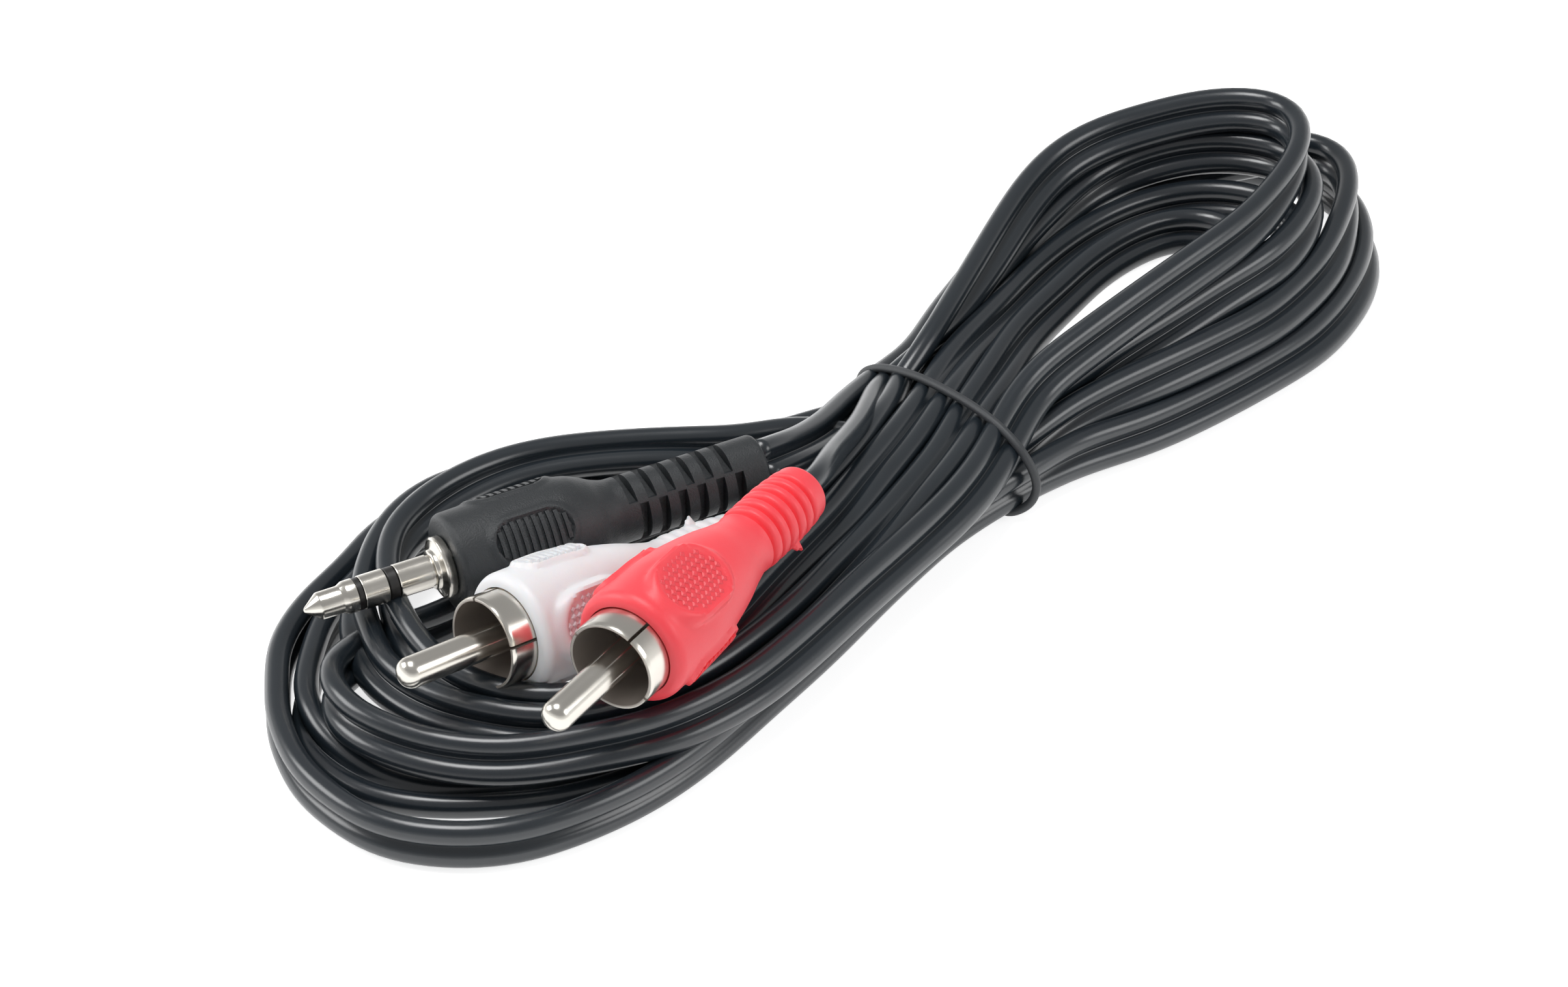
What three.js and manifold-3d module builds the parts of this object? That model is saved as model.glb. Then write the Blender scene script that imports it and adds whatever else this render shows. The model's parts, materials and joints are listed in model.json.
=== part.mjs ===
// Stereo audio lead: a 3.5 mm plug at one end of a figure-8 cord, two phono plugs at the other,
// wound in a hank and held by a thin elastic tie. Millimetres, +Z up, +X along the hank.
import * as THREE from 'three';
import Module from 'manifold-3d';
import { mergeVertices } from 'three/addons/utils/BufferGeometryUtils.js';

const wasm = await Module();
wasm.setup();

// Clearances
const gap = 0.3;
const turnedGap = 0.1;

// Cord
const strandDiameter = 2.5;
const strandRadius = strandDiameter / 2;
const coreDiameter = 0.9;
const tubeSides = 8;
const gripSides = 20;
const innerSides = 16;

// Stereo plug, measured along its axis from the tip
const jackDiameter = 3.5;
const jackShaftLength = 14.2;
const tipConeLength = 1.35;
const tipHeadDiameter = 2.95;
const tipNeckDiameter = 2.6;
const tipCollarDiameter = 3.25;
const tipLength = 4.9;
const insulatorWidth = 1.0;
const ringContactLength = 2.6;
const contactTubeWall = 0.2;
const linerWall = 0.15;
const rodDiameter = 0.8;
const flangeDiameter = 6.3;
const flangeThickness = 1.2;
const collarDiameter = 4.2;
const collarLength = 0.45;
const sleeveGrooveDepth = 0.15;
const barrelDiameter = 4.8;
const barrelLength = 1.6;
const tagThickness = 0.4;
const tagDiscDiameter = 3.8;
const tagStripWidth = 1.2;
const washerThickness = 0.6;
const jackTagReach = 4.5;

// Stereo plug's grip
const gripDiameter = 10.9;
const gripFrontDiameter = 10.4;
const gripEdgeRadius = 1.3;
const gripBodyLength = 13.6;
const gripShoulderLength = 4.6;
const gripWall = 1.1;
const jackReliefDiameter = 6.9;
const jackReliefLength = 16.7;
const slotWidth = 0.95;
const slotPitch = 2.15;
const slotsPerRow = 6;
const slotRows = 4;
const slotDepth = 1.1;
const slotWebWidth = 1.3;
const firstSlotOffset = 2.5;
const jackPadLength = 8.5;
const jackPadWidth = 4.7;
const jackPadRise = 0.3;
const jackPadOffset = 8.8;
const padRibPitch = 0.78;
const padRibGroove = 0.3;
const padRibDepth = 0.3;
const padGrooveMargin = 0.7;

// Phono plugs, measured along the axis from the skirt's rim
const pinDiameter = 3.2;
const pinReach = 10.4;
const skirtDiameter = 9.5;
const skirtWall = 0.4;
const skirtLength = 9.9;
const skirtLipThickness = 0.5;
const skirtLipDiameter = 6.4;
const skirtSlitWidth = 0.8;
const skirtSlitLength = 6.0;
const skirtSlits = 4;
const socketDepth = 6.4;
const socketInsulatorThickness = 3.2;
const bootStart = 3.0;
const bootDiameter = 12.3;
const bootEdgeRadius = 1.2;
const bootStraight = 4.8;
const bootLength = 20.0;
const reliefStartDiameter = 6.9;
const reliefEndDiameter = 6.2;
const reliefRings = 6;
const ringPitch = 1.5;
const ringGrooveWidth = 0.6;
const ringGrooveDepth = 0.65;
const reliefCollarLength = 1.6;
const bootPadLength = 8.2;
const bootPadWidth = 5.9;
const bootPadRise = 0.3;
const bootPadRootClearance = 0.2;
const bootPadOffset = 7.4;
const barPadWidth = 3.4;
const moulding = { wall: 1.2, start: 3.2, length: 4.4, bore: 3.4 };

// Bores that the wires run in, and the wires' distance from the plug's axis
const jackBoreDiameter = 3.8;
const phonoBoreDiameter = 2.8;
const jackWireOffset = 1.0;
const phonoWireOffset = 0.62;

// Hank: loop outlines seen from above, with the tie at the origin
const hankHeight = 5.2;
const hankEdge = 1.0;
const farRise = 11.2;
const nearReach = 92.0;
const farReach = 67.5;
const nearOutline = [
  [-9, -13], [-20, -15.6], [-38, -19.4], [-55, -21.8], [-70, -21.4], [-83, -16.8], [-nearReach, -5],
  [-89.5, 6], [-80, 16.8], [-66, 25], [-52, 30], [-38, 28.6], [-24, 20.2], [-9, 13],
];
const nearOpening = [
  [-66.5, 8], [-65, -2], [-57, -8.5], [-44, -9.5], [-32, -5.5], [-22, 1], [-29, 8.5], [-42, 15.5], [-56, 18.5],
];
const farOutline = [
  [9, -13], [22, -15.8], [38, -17], [53, -15], [64, -8], [farReach, 3], [62, 14], [49, 21.6], [32, 22],
  [19, 17.6], [9, 13],
];
const farOpening = [[21, -1.5], [32, -4], [42, -1], [47, 5], [43, 10.5], [32, 9]];
const outlineSteps = 3;

// Waist of the hank, as an arched section seen from the near end, and the tie round it
const waistLength = 24;
const waistBevel = 0.6;
const waistOutline = [
  [12.2, 3.2], [9.6, 6.3], [5.2, 8.2], [0, 9], [-5.2, 8.6], [-9.8, 7], [-12.2, 4.6], [-11.6, 2.4], [-7.5, 1.4],
  [7.5, 1.4], [11.4, 1.9],
];
const waistMiddle = 5;
const tieThickness = 0.95;
const tieBevel = 0.25;
const tieLean = 15;

// Where each plug lies: its reference point from the tie, its turn, dip and roll in degrees
const jackPlace = { at: [-75.0, 17.2, 10.5], yaw: -18.1, dip: -2.0, roll: 5 };
const redPlace = { at: [-64.8, -16.5, 16.2], yaw: 12.8, dip: 0, roll: 29 };
const whitePlace = { at: [-67.8, -1.4, 12.5], yaw: -2.6, dip: 6.8, roll: 74 };

// Free stretches of the cord: points chosen by hand between the plug and the waist
const jackTailPoints = [[-19.5, 4.6, 10.2]];
const redTailPoints = [[-20.5, -4, 13.4]];
const whiteTailPoints = [[-22, -1.6, 7.2]];
const tailEntries = { jack: [8.2, 7.0], red: [3.6, 7.4], white: [0.2, 7.0] };

const degree = Math.PI / 180;

const finishes = {
  nickel: { color: 0xc9c5bd, metalness: 1, roughness: 0.22 },
  copper: { color: 0xb87a50, metalness: 1, roughness: 0.4 },
  blackVinyl: { color: 0x1d2226, metalness: 0, roughness: 0.28 },
  blackGrip: { color: 0x24282b, metalness: 0, roughness: 0.6 },
  redVinyl: { color: 0xf4474f, metalness: 0, roughness: 0.42 },
  whiteVinyl: { color: 0xe9e9ec, metalness: 0, roughness: 0.42 },
  insulator: { color: 0x26221f, metalness: 0, roughness: 0.5 },
  innerMould: { color: 0xd8d2c4, metalness: 0, roughness: 0.6 },
  elastic: { color: 0x2a2c2f, metalness: 0, roughness: 0.5 },
};

function piece(name, geometry, finish) {
  const mesh = new THREE.Mesh(geometry, new THREE.MeshStandardMaterial(finishes[finish]));
  mesh.name = name;
  return mesh;
}

// Bare positions with shared vertices, as the boolean library needs them
function toSolid(geometry) {
  const bare = geometry.clone();
  bare.deleteAttribute('normal');
  bare.deleteAttribute('uv');
  const merged = mergeVertices(bare, 1e-4);
  const corners = Array.from(merged.index.array);
  const kept = [];
  for (let i = 0; i < corners.length; i += 3) {
    const [a, b, c] = corners.slice(i, i + 3);
    if (a !== b && b !== c && c !== a) kept.push(a, b, c);
  }
  return new wasm.Manifold(new wasm.Mesh({
    numProp: 3,
    vertProperties: new Float32Array(merged.attributes.position.array),
    triVerts: new Uint32Array(kept),
  }));
}

function toGeometry(solid) {
  const mesh = solid.getMesh();
  const geometry = new THREE.BufferGeometry();
  geometry.setAttribute('position', new THREE.BufferAttribute(mesh.vertProperties, 3));
  geometry.setIndex(new THREE.BufferAttribute(mesh.triVerts, 1));
  return geometry;
}

function joined(...geometries) {
  return toGeometry(geometries.map(toSolid).reduce((whole, extra) => whole.add(extra)));
}

function cut(geometry, tools) {
  return toGeometry(tools.map(toSolid).reduce((whole, tool) => whole.subtract(tool), toSolid(geometry)));
}

// A body of revolution about +X from a profile of [distance along, radius]
function turned(profile, sides = 24) {
  const points = profile.map(([along, radius]) => new THREE.Vector2(radius, along));
  return new THREE.LatheGeometry(points, sides).rotateZ(-Math.PI / 2);
}

// A ring of rectangular section about +X
function ring(start, end, inner, outer, sides = innerSides) {
  return turned([[start, inner], [start, outer], [end, outer], [end, inner], [start, inner]], sides);
}

function quarterRound(centreAlong, centreRadius, radius, fromAngle, steps = 2) {
  return Array.from({ length: steps + 1 }, (_, i) => {
    const angle = (fromAngle - (90 * i) / steps) * degree;
    return [centreAlong + radius * Math.cos(angle), centreRadius + radius * Math.sin(angle)];
  });
}

// A straight wire along +X, off the axis by the offset at the given angle from +Z
function straightWire(start, end, offset, angle) {
  const wire = new THREE.CylinderGeometry(coreDiameter / 2, coreDiameter / 2, end - start, tubeSides);
  wire.rotateZ(Math.PI / 2);
  return wire.translate((start + end) / 2, offset * Math.sin(angle), offset * Math.cos(angle));
}

function circleShape(radius, sides = tubeSides) {
  const shape = new THREE.Shape();
  for (let i = 0; i < sides; i += 1) {
    const angle = (2 * Math.PI * (i + 0.5)) / sides;
    const corner = [radius * Math.cos(angle), radius * Math.sin(angle)];
    if (i === 0) shape.moveTo(...corner); else shape.lineTo(...corner);
  }
  return shape;
}

// Flat twin section: an oval as wide as the two strands
function twinShape() {
  const shape = new THREE.Shape();
  const half = strandRadius;
  const slope = half * Math.SQRT1_2;
  const corners = [
    [half, half], [slope, half + slope], [0, 2 * half], [-slope, half + slope],
    [-half, half], [-half, -half], [-slope, -half - slope], [0, -2 * half], [slope, -half - slope], [half, -half],
  ];
  corners.forEach((corner, i) => (i === 0 ? shape.moveTo(...corner) : shape.lineTo(...corner)));
  return shape;
}

function sweptTube(points, shape, steps) {
  const path = new THREE.CatmullRomCurve3(points.map((point) => new THREE.Vector3(...point)));
  return new THREE.ExtrudeGeometry(shape, { extrudePath: path, steps, bevelEnabled: false });
}

// An oval or stadium boss on the side of a plug's grip, standing out along +Z
function padBoss(length, width, from, to) {
  const shape = new THREE.Shape();
  const straight = (length - width) / 2;
  shape.absarc(straight, 0, width / 2, -Math.PI / 2, Math.PI / 2, false);
  shape.absarc(-straight, 0, width / 2, Math.PI / 2, 1.5 * Math.PI, false);
  return new THREE.ExtrudeGeometry(shape, { depth: to - from, bevelEnabled: false, curveSegments: 3 })
    .translate(0, 0, from);
}

function box(length, width, height, centre) {
  return new THREE.BoxGeometry(length, width, height).translate(...centre);
}

// Cross grooves of a ribbed pad whose top lies at the given height
function padGrooves(centre, length, width, top) {
  const count = Math.floor((length - 2 * padGrooveMargin) / padRibPitch);
  return Array.from({ length: count }, (_, i) => box(
    padRibGroove, width + 2 * gap, 2 * padRibDepth, [centre + (i - (count - 1) / 2) * padRibPitch, 0, top],
  ));
}

function aroundAxis(geometry, angle) {
  return geometry.clone().rotateX(angle);
}

// Stations of the stereo plug's contacts along its axis
const jack = (() => {
  const ringStart = tipLength + insulatorWidth + 2 * turnedGap;
  const sleeveStart = ringStart + ringContactLength + insulatorWidth + 2 * turnedGap;
  const flangeEnd = jackShaftLength + flangeThickness;
  const barrelEnd = flangeEnd + barrelLength;
  const ringTag = barrelEnd + washerThickness + 2 * turnedGap;
  const tipTag = ringTag + tagThickness + washerThickness + 2 * turnedGap;
  const rod = rodDiameter / 2;
  const firstLiner = rod + turnedGap;
  const ringTube = firstLiner + linerWall + turnedGap;
  const secondLiner = ringTube + contactTubeWall + turnedGap;
  const sleeveBore = secondLiner + linerWall + turnedGap;
  const wireStart = tipTag + tagThickness + gap;
  const gripStart = flangeEnd + turnedGap;
  const reliefStart = gripStart + gripBodyLength + gripShoulderLength;
  return {
    ringStart, sleeveStart, flangeEnd, barrelEnd, ringTag, tipTag, rod, firstLiner, ringTube, secondLiner,
    sleeveBore, wireStart, gripStart, reliefStart, end: reliefStart + jackReliefLength,
  };
})();

function jackTipContact() {
  const collarStart = tipLength - 0.4;
  return turned([
    [0, 0], [0.12, 0.3], [tipConeLength, tipHeadDiameter / 2], [tipConeLength + 0.35, tipNeckDiameter / 2],
    [collarStart - 0.6, tipNeckDiameter / 2], [collarStart, tipCollarDiameter / 2],
    [tipLength, tipCollarDiameter / 2], [tipLength, jack.rod], [jack.tipTag + tagThickness + turnedGap, jack.rod],
    [jack.tipTag + tagThickness + turnedGap, 0],
  ], gripSides);
}

// A visible disc with a thin liner tube behind it
function linedDisc(start, discEnd, tubeEnd, inner, wall, outer) {
  return turned([
    [start, inner], [start, outer], [discEnd, outer], [discEnd, inner + wall], [tubeEnd, inner + wall],
    [tubeEnd, inner], [start, inner],
  ], gripSides);
}

function jackSleeveContact() {
  const shaft = jackDiameter / 2;
  const collarStart = jackShaftLength - collarLength;
  const grooveStart = collarStart - 0.35;
  const edge = 0.25;
  return turned([
    [jack.sleeveStart, jack.sleeveBore], [jack.sleeveStart, shaft], [grooveStart, shaft],
    [grooveStart + 0.05, shaft - sleeveGrooveDepth], [collarStart, shaft - sleeveGrooveDepth],
    [collarStart, collarDiameter / 2], [jackShaftLength, collarDiameter / 2],
    [jackShaftLength, flangeDiameter / 2 - edge], [jackShaftLength + edge, flangeDiameter / 2],
    [jack.flangeEnd, flangeDiameter / 2], [jack.flangeEnd, barrelDiameter / 2],
    [jack.barrelEnd, barrelDiameter / 2], [jack.barrelEnd, jack.sleeveBore], [jack.sleeveStart, jack.sleeveBore],
  ], 24);
}

// A solder tag: a disc on the contact's tube with a strip that reaches back
function solderTag(station, bore, discDiameter, stripSide) {
  const disc = ring(station, station + tagThickness, bore + turnedGap, discDiameter / 2);
  const reach = jackTagReach + jack.tipTag - station;
  const height = discDiameter / 2 + tagThickness / 2 - turnedGap;
  return joined(disc, box(reach, tagStripWidth, tagThickness, [station + reach / 2, 0, stripSide * height]));
}

function sleeveTag() {
  const height = (barrelDiameter - tagThickness) / 2;
  const start = jack.barrelEnd + turnedGap;
  const reach = jack.tipTag + jackTagReach - start;
  return box(reach, tagThickness, tagStripWidth, [start + reach / 2, height, 0]);
}

function jackInnerMould() {
  const outer = gripDiameter / 2 - gripWall - gap;
  const inner = barrelDiameter / 2 + 2 * gap + tagThickness;
  return ring(jack.barrelEnd + gap, jack.gripStart + gripBodyLength - gap, inner, outer);
}

function jackGripShell() {
  const body = gripDiameter / 2;
  const front = gripFrontDiameter / 2;
  const relief = jackReliefDiameter / 2;
  const cavity = body - gripWall;
  const bodyEnd = jack.gripStart + gripBodyLength;
  const bore = jackBoreDiameter / 2;
  return turned([
    [jack.gripStart, barrelDiameter / 2 + turnedGap],
    [jack.gripStart, front - gripEdgeRadius],
    ...quarterRound(jack.gripStart + gripEdgeRadius, front - gripEdgeRadius, gripEdgeRadius, 180).slice(1),
    [bodyEnd - 2, body], [bodyEnd, body - 0.25],
    [bodyEnd + gripShoulderLength * 0.45, (body + relief) / 2 + 0.25], [bodyEnd + gripShoulderLength, relief],
    [jack.end - 0.5, relief], [jack.end, relief - 0.5], [jack.end, bore],
    [bodyEnd, bore], [bodyEnd, cavity], [jack.barrelEnd, cavity],
    [jack.barrelEnd, barrelDiameter / 2 + turnedGap], [jack.gripStart, barrelDiameter / 2 + turnedGap],
  ], gripSides);
}

// One slot of the relief: a ring sector cut down to the slot's floor between two webs
function reliefSlot(along) {
  const outer = jackReliefDiameter / 2;
  return box(slotWidth, 2 * outer * Math.SQRT1_2 - slotWebWidth + 2 * gap, 2 * slotDepth, [along, 0, outer]);
}

function jackGrip() {
  const padTop = gripDiameter / 2 + jackPadRise;
  const pad = padBoss(jackPadLength, jackPadWidth, gripDiameter / 2 - gripWall / 2, padTop);
  pad.translate(jack.gripStart + jackPadOffset, 0, 0);
  const grooves = padGrooves(jack.gripStart + jackPadOffset, jackPadLength, jackPadWidth, padTop);
  const pads = [0, 1, 2, 3].map((quarter) => aroundAxis(pad, (quarter + 0.5) * 90 * degree));
  const tools = [];
  for (let row = 0; row < slotRows; row += 1) {
    const shift = (row % 2) * (slotPitch / 2);
    for (let i = 0; i < slotsPerRow; i += 1) {
      const slot = reliefSlot(jack.reliefStart + firstSlotOffset + shift + i * slotPitch - slotPitch / 2);
      tools.push(aroundAxis(slot, (row * 360 * degree) / slotRows));
    }
    grooves.forEach((groove) => tools.push(aroundAxis(groove, (row + 0.5) * 90 * degree)));
  }
  return cut(joined(jackGripShell(), ...pads), tools);
}

function jackPlug() {
  const group = new THREE.Group();
  const ringEnd = jack.ringStart + ringContactLength;
  const shaft = jackDiameter / 2;
  const wires = [['left', 0], ['right', 120], ['screen', 240]];
  group.add(
    piece('jack_tip_contact', jackTipContact(), 'nickel'),
    piece('jack_tip_insulator', linedDisc(
      tipLength + turnedGap, jack.ringStart - turnedGap, jack.tipTag - turnedGap, jack.firstLiner, linerWall, shaft,
    ), 'insulator'),
    piece('jack_ring_contact', linedDisc(
      jack.ringStart, ringEnd, jack.ringTag + tagThickness + turnedGap, jack.ringTube, contactTubeWall, shaft,
    ), 'nickel'),
    piece('jack_ring_insulator', linedDisc(
      ringEnd + turnedGap, jack.sleeveStart - turnedGap, jack.ringTag - turnedGap, jack.secondLiner, linerWall, shaft,
    ), 'insulator'),
    piece('jack_sleeve_contact', jackSleeveContact(), 'nickel'),
    piece('jack_rear_washer', ring(
      jack.barrelEnd + turnedGap, jack.ringTag - turnedGap, jack.sleeveBore, tagDiscDiameter / 2,
    ), 'insulator'),
    piece('jack_ring_tag', solderTag(jack.ringTag, jack.ringTube + contactTubeWall, tagDiscDiameter, -1), 'nickel'),
    piece('jack_tag_washer', ring(
      jack.ringTag + tagThickness + 2 * turnedGap, jack.tipTag - turnedGap, jack.secondLiner,
      tagDiscDiameter / 2 - 2 * turnedGap,
    ), 'insulator'),
    piece('jack_tip_tag', solderTag(jack.tipTag, jack.rod, tagDiscDiameter - 2 * gap, 1), 'nickel'),
    piece('jack_sleeve_tag', sleeveTag(), 'nickel'),
    piece('jack_inner_mould', jackInnerMould(), 'innerMould'),
    piece('jack_grip', jackGrip(), 'blackGrip'),
  );
  wires.forEach(([side, angle]) => group.add(piece(
    `jack_${side}_core`, straightWire(jack.wireStart, jack.end - gap, jackWireOffset, angle * degree), 'copper',
  )));
  return group;
}

// Stations of a phono plug along its axis
const phono = (() => {
  const lipStart = skirtLength;
  const rear = skirtLength + skirtLipThickness;
  const reliefStart = bootStart + bootLength + 0.8;
  const end = reliefStart + reliefRings * ringPitch + reliefCollarLength;
  return { lipStart, rear, reliefStart, end, mouldStart: rear + moulding.start };
})();

function phonoPin() {
  const radius = pinDiameter / 2;
  const tip = quarterRound(-pinReach + radius, 0, radius, 180, 4);
  return turned([
    ...tip, [phono.rear - turnedGap, radius], [phono.rear - turnedGap, 0],
  ], 24);
}

function phonoSkirt() {
  const outer = skirtDiameter / 2;
  const inner = outer - skirtWall;
  const skirt = turned([
    [0, inner], [0.1, outer], [phono.rear, outer], [phono.rear, skirtLipDiameter / 2],
    [phono.lipStart, skirtLipDiameter / 2], [phono.lipStart, inner], [0, inner],
  ]);
  const slit = box(2 * skirtSlitLength, skirtSlitWidth, skirtWall * 4, [0, 0, outer]);
  return cut(skirt, Array.from({ length: skirtSlits }, (_, i) => (
    aroundAxis(slit, (2 * Math.PI * i) / skirtSlits)
  )));
}

function phonoInsulator() {
  return ring(
    socketDepth, socketDepth + socketInsulatorThickness, pinDiameter / 2 + turnedGap,
    skirtDiameter / 2 - skirtWall - turnedGap, 24,
  );
}

function phonoInnerMould() {
  const outer = skirtDiameter / 2 - skirtWall - gap;
  const end = phono.mouldStart + moulding.length;
  const endRadius = reliefStartDiameter / 2 - moulding.wall;
  return turned([
    [phono.mouldStart, moulding.bore / 2], [phono.mouldStart, outer - 0.6], [end, endRadius + 0.2],
    [end, moulding.bore / 2], [phono.mouldStart, moulding.bore / 2],
  ], innerSides);
}

// Outline of the relief: proud rings between grooves, tapering towards the cord
function reliefOutline() {
  const radiusAt = (along) => {
    const share = (along - phono.reliefStart) / (phono.end - phono.reliefStart);
    return (reliefStartDiameter + share * (reliefEndDiameter - reliefStartDiameter)) / 2;
  };
  const outline = [];
  for (let i = 0; i < reliefRings; i += 1) {
    const start = phono.reliefStart + i * ringPitch;
    const end = start + ringGrooveWidth;
    outline.push(
      [start, radiusAt(start)], [start + 0.12, radiusAt(start) - ringGrooveDepth],
      [end - 0.12, radiusAt(end) - ringGrooveDepth], [end, radiusAt(end)],
    );
  }
  outline.push([phono.end - 0.5, radiusAt(phono.end)], [phono.end, radiusAt(phono.end) - 0.5]);
  return outline;
}

function phonoBootShell() {
  const radius = bootDiameter / 2;
  const bore = skirtDiameter / 2 + turnedGap;
  const wireBore = phonoBoreDiameter / 2;
  const mouldEnd = phono.mouldStart + moulding.length + gap;
  const neck = reliefStartDiameter / 2;
  const cavity = skirtDiameter / 2 - skirtWall;
  return turned([
    [bootStart, bore], [bootStart, radius - bootEdgeRadius],
    ...quarterRound(bootStart + bootEdgeRadius, radius - bootEdgeRadius, bootEdgeRadius, 180).slice(1),
    [bootStart + bootEdgeRadius + bootStraight, radius],
    [bootStart + bootLength * 0.5, radius - 0.45], [bootStart + bootLength * 0.65, radius - 1.0],
    [bootStart + bootLength * 0.8, neck + 0.95], [bootStart + bootLength * 0.92, neck + 0.25],
    [bootStart + bootLength, neck],
    ...reliefOutline(),
    [phono.end, wireBore], [mouldEnd, wireBore], [mouldEnd, neck - moulding.wall + 0.5],
    [phono.mouldStart, cavity - 0.2], [phono.rear + gap, cavity], [phono.rear + gap, bore], [bootStart, bore],
  ], gripSides);
}

function phonoBoot() {
  const base = skirtDiameter / 2 + bootPadRootClearance;
  const top = bootDiameter / 2 + bootPadRise;
  const centre = bootStart + bootPadOffset;
  const roundPad = padBoss(bootPadLength, bootPadWidth, base, top - 0.1).translate(centre, 0, 0);
  const barPad = padBoss(bootPadLength, barPadWidth, base, top).translate(centre, 0, 0);
  const grooves = padGrooves(centre, bootPadLength, barPadWidth, top);
  const pads = [aroundAxis(roundPad, 0), aroundAxis(roundPad, Math.PI)];
  const tools = [];
  [Math.PI / 2, -Math.PI / 2].forEach((side) => {
    pads.push(aroundAxis(barPad, side));
    grooves.forEach((groove) => tools.push(aroundAxis(groove, side)));
  });
  return cut(joined(phonoBootShell(), ...pads), tools);
}

// The screen runs from the skirt's rear lip inwards and then back beside the core
function phonoScreenWire() {
  const lip = skirtLipDiameter / 2 + coreDiameter / 2;
  const start = phono.rear + gap;
  return sweptTube([
    [start, 0, -lip], [start + 1, 0, -lip + 1], [start + 2.2, 0, -phonoWireOffset - 0.3],
    [start + 3.6, 0, -phonoWireOffset], [phono.end - gap, 0, -phonoWireOffset],
  ], circleShape(coreDiameter / 2), 10);
}

function phonoPlug(side, finish) {
  const group = new THREE.Group();
  group.add(
    piece(`${side}_plug_pin`, phonoPin(), 'nickel'),
    piece(`${side}_plug_skirt`, phonoSkirt(), 'nickel'),
    piece(`${side}_plug_insulator`, phonoInsulator(), 'insulator'),
    piece(`${side}_plug_inner_mould`, phonoInnerMould(), 'innerMould'),
    piece(`${side}_plug_boot`, phonoBoot(), finish),
    piece(`${side}_plug_core_wire`, straightWire(
      phono.rear + gap, phono.end - gap, phonoWireOffset, 0,
    ), 'copper'),
    piece(`${side}_plug_screen_wire`, phonoScreenWire(), 'copper'),
  );
  return group;
}

function placed(group, place) {
  group.position.set(...place.at);
  group.rotation.set(place.roll * degree, place.dip * degree, place.yaw * degree, 'ZYX');
  return group;
}

// A point on a placed plug's axis, in the tie's frame
function onAxis(place, along) {
  const turn = new THREE.Euler(place.roll * degree, place.dip * degree, place.yaw * degree, 'ZYX');
  return new THREE.Vector3(along, 0, 0).applyEuler(turn).add(new THREE.Vector3(...place.at));
}

function smoothOutline(points) {
  const curve = new THREE.CatmullRomCurve3(points.map(([x, y]) => new THREE.Vector3(x, y, 0)), true);
  return curve.getPoints(points.length * outlineSteps).slice(0, -1).map((p) => new THREE.Vector2(p.x, p.y));
}

// One loop of the hank: an extruded outline with its opening, rising away from the tie
function loopSolid(outline, opening, rise) {
  const shape = new THREE.Shape(smoothOutline(outline));
  shape.holes.push(new THREE.Path(smoothOutline(opening)));
  const solid = new THREE.ExtrudeGeometry(shape, {
    depth: hankHeight - 2 * hankEdge, bevelThickness: hankEdge, bevelSize: hankEdge, bevelOffset: -hankEdge,
    bevelSegments: 1,
  }).translate(0, 0, hankEdge);
  const corners = solid.attributes.position;
  for (let i = 0; i < corners.count; i += 1) {
    const share = Math.max(0, corners.getX(i)) / farReach;
    corners.setZ(i, corners.getZ(i) * (1 + (rise * share) / hankHeight));
  }
  return solid;
}

// The waist's section grown outwards by a distance
function waistSection(growth) {
  const corners = waistOutline.map(([y, z]) => new THREE.Vector3(y, z - waistMiddle, 0));
  const curve = new THREE.CatmullRomCurve3(corners, true);
  const count = waistOutline.length * outlineSteps;
  return Array.from({ length: count }, (_, i) => {
    const point = curve.getPointAt(i / count);
    const along = curve.getTangentAt(i / count);
    return new THREE.Vector2(point.x + growth * along.y, point.y - growth * along.x);
  });
}

// Extrudes a section drawn in the YZ plane along +X about the tie
function alongHank(shape, length, bevel) {
  return new THREE.ExtrudeGeometry(shape, {
    depth: length - 2 * bevel, bevelThickness: bevel, bevelSize: bevel, bevelOffset: -bevel, bevelSegments: 1,
  }).translate(0, 0, bevel - length / 2).rotateX(Math.PI / 2).rotateZ(Math.PI / 2);
}

function hank() {
  const waistBlock = alongHank(new THREE.Shape(waistSection(0)), waistLength, waistBevel);
  return joined(
    loopSolid(nearOutline, nearOpening, 0), loopSolid(farOutline, farOpening, farRise),
    waistBlock.translate(0, 0, waistMiddle),
  );
}

function tieBand() {
  const shape = new THREE.Shape(waistSection(gap + tieThickness));
  shape.holes.push(new THREE.Path(waistSection(gap)));
  return alongHank(shape, tieThickness, tieBevel).rotateY(tieLean * degree).translate(0, 0, waistMiddle);
}

// A tail from a plug's relief to the near face of the waist
function tail(place, plugEnd, points, [entryY, entryZ], shape, steps) {
  const start = onAxis(place, plugEnd + gap);
  const lead = onAxis(place, plugEnd + strandDiameter);
  const entry = -waistLength / 2 - gap;
  return sweptTube([
    start.toArray(), lead.toArray(), ...points, [entry - strandDiameter, entryY, entryZ], [entry, entryY, entryZ],
  ], shape, steps);
}

function cordPieces() {
  const single = circleShape(strandRadius);
  return [
    piece('cord_hank', hank(), 'blackVinyl'),
    piece('cord_jack_tail', tail(jackPlace, jack.end, jackTailPoints, tailEntries.jack, twinShape(), 9), 'blackVinyl'),
    piece('cord_red_tail', tail(redPlace, phono.end, redTailPoints, tailEntries.red, single, 9), 'blackVinyl'),
    piece('cord_white_tail', tail(whitePlace, phono.end, whiteTailPoints, tailEntries.white, single, 9), 'blackVinyl'),
    piece('tie_band', tieBand(), 'elastic'),
  ];
}

const cable = new THREE.Group();
cable.add(
  placed(jackPlug(), jackPlace), placed(phonoPlug('red', 'redVinyl'), redPlace),
  placed(phonoPlug('white', 'whiteVinyl'), whitePlace), ...cordPieces(),
);

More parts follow.
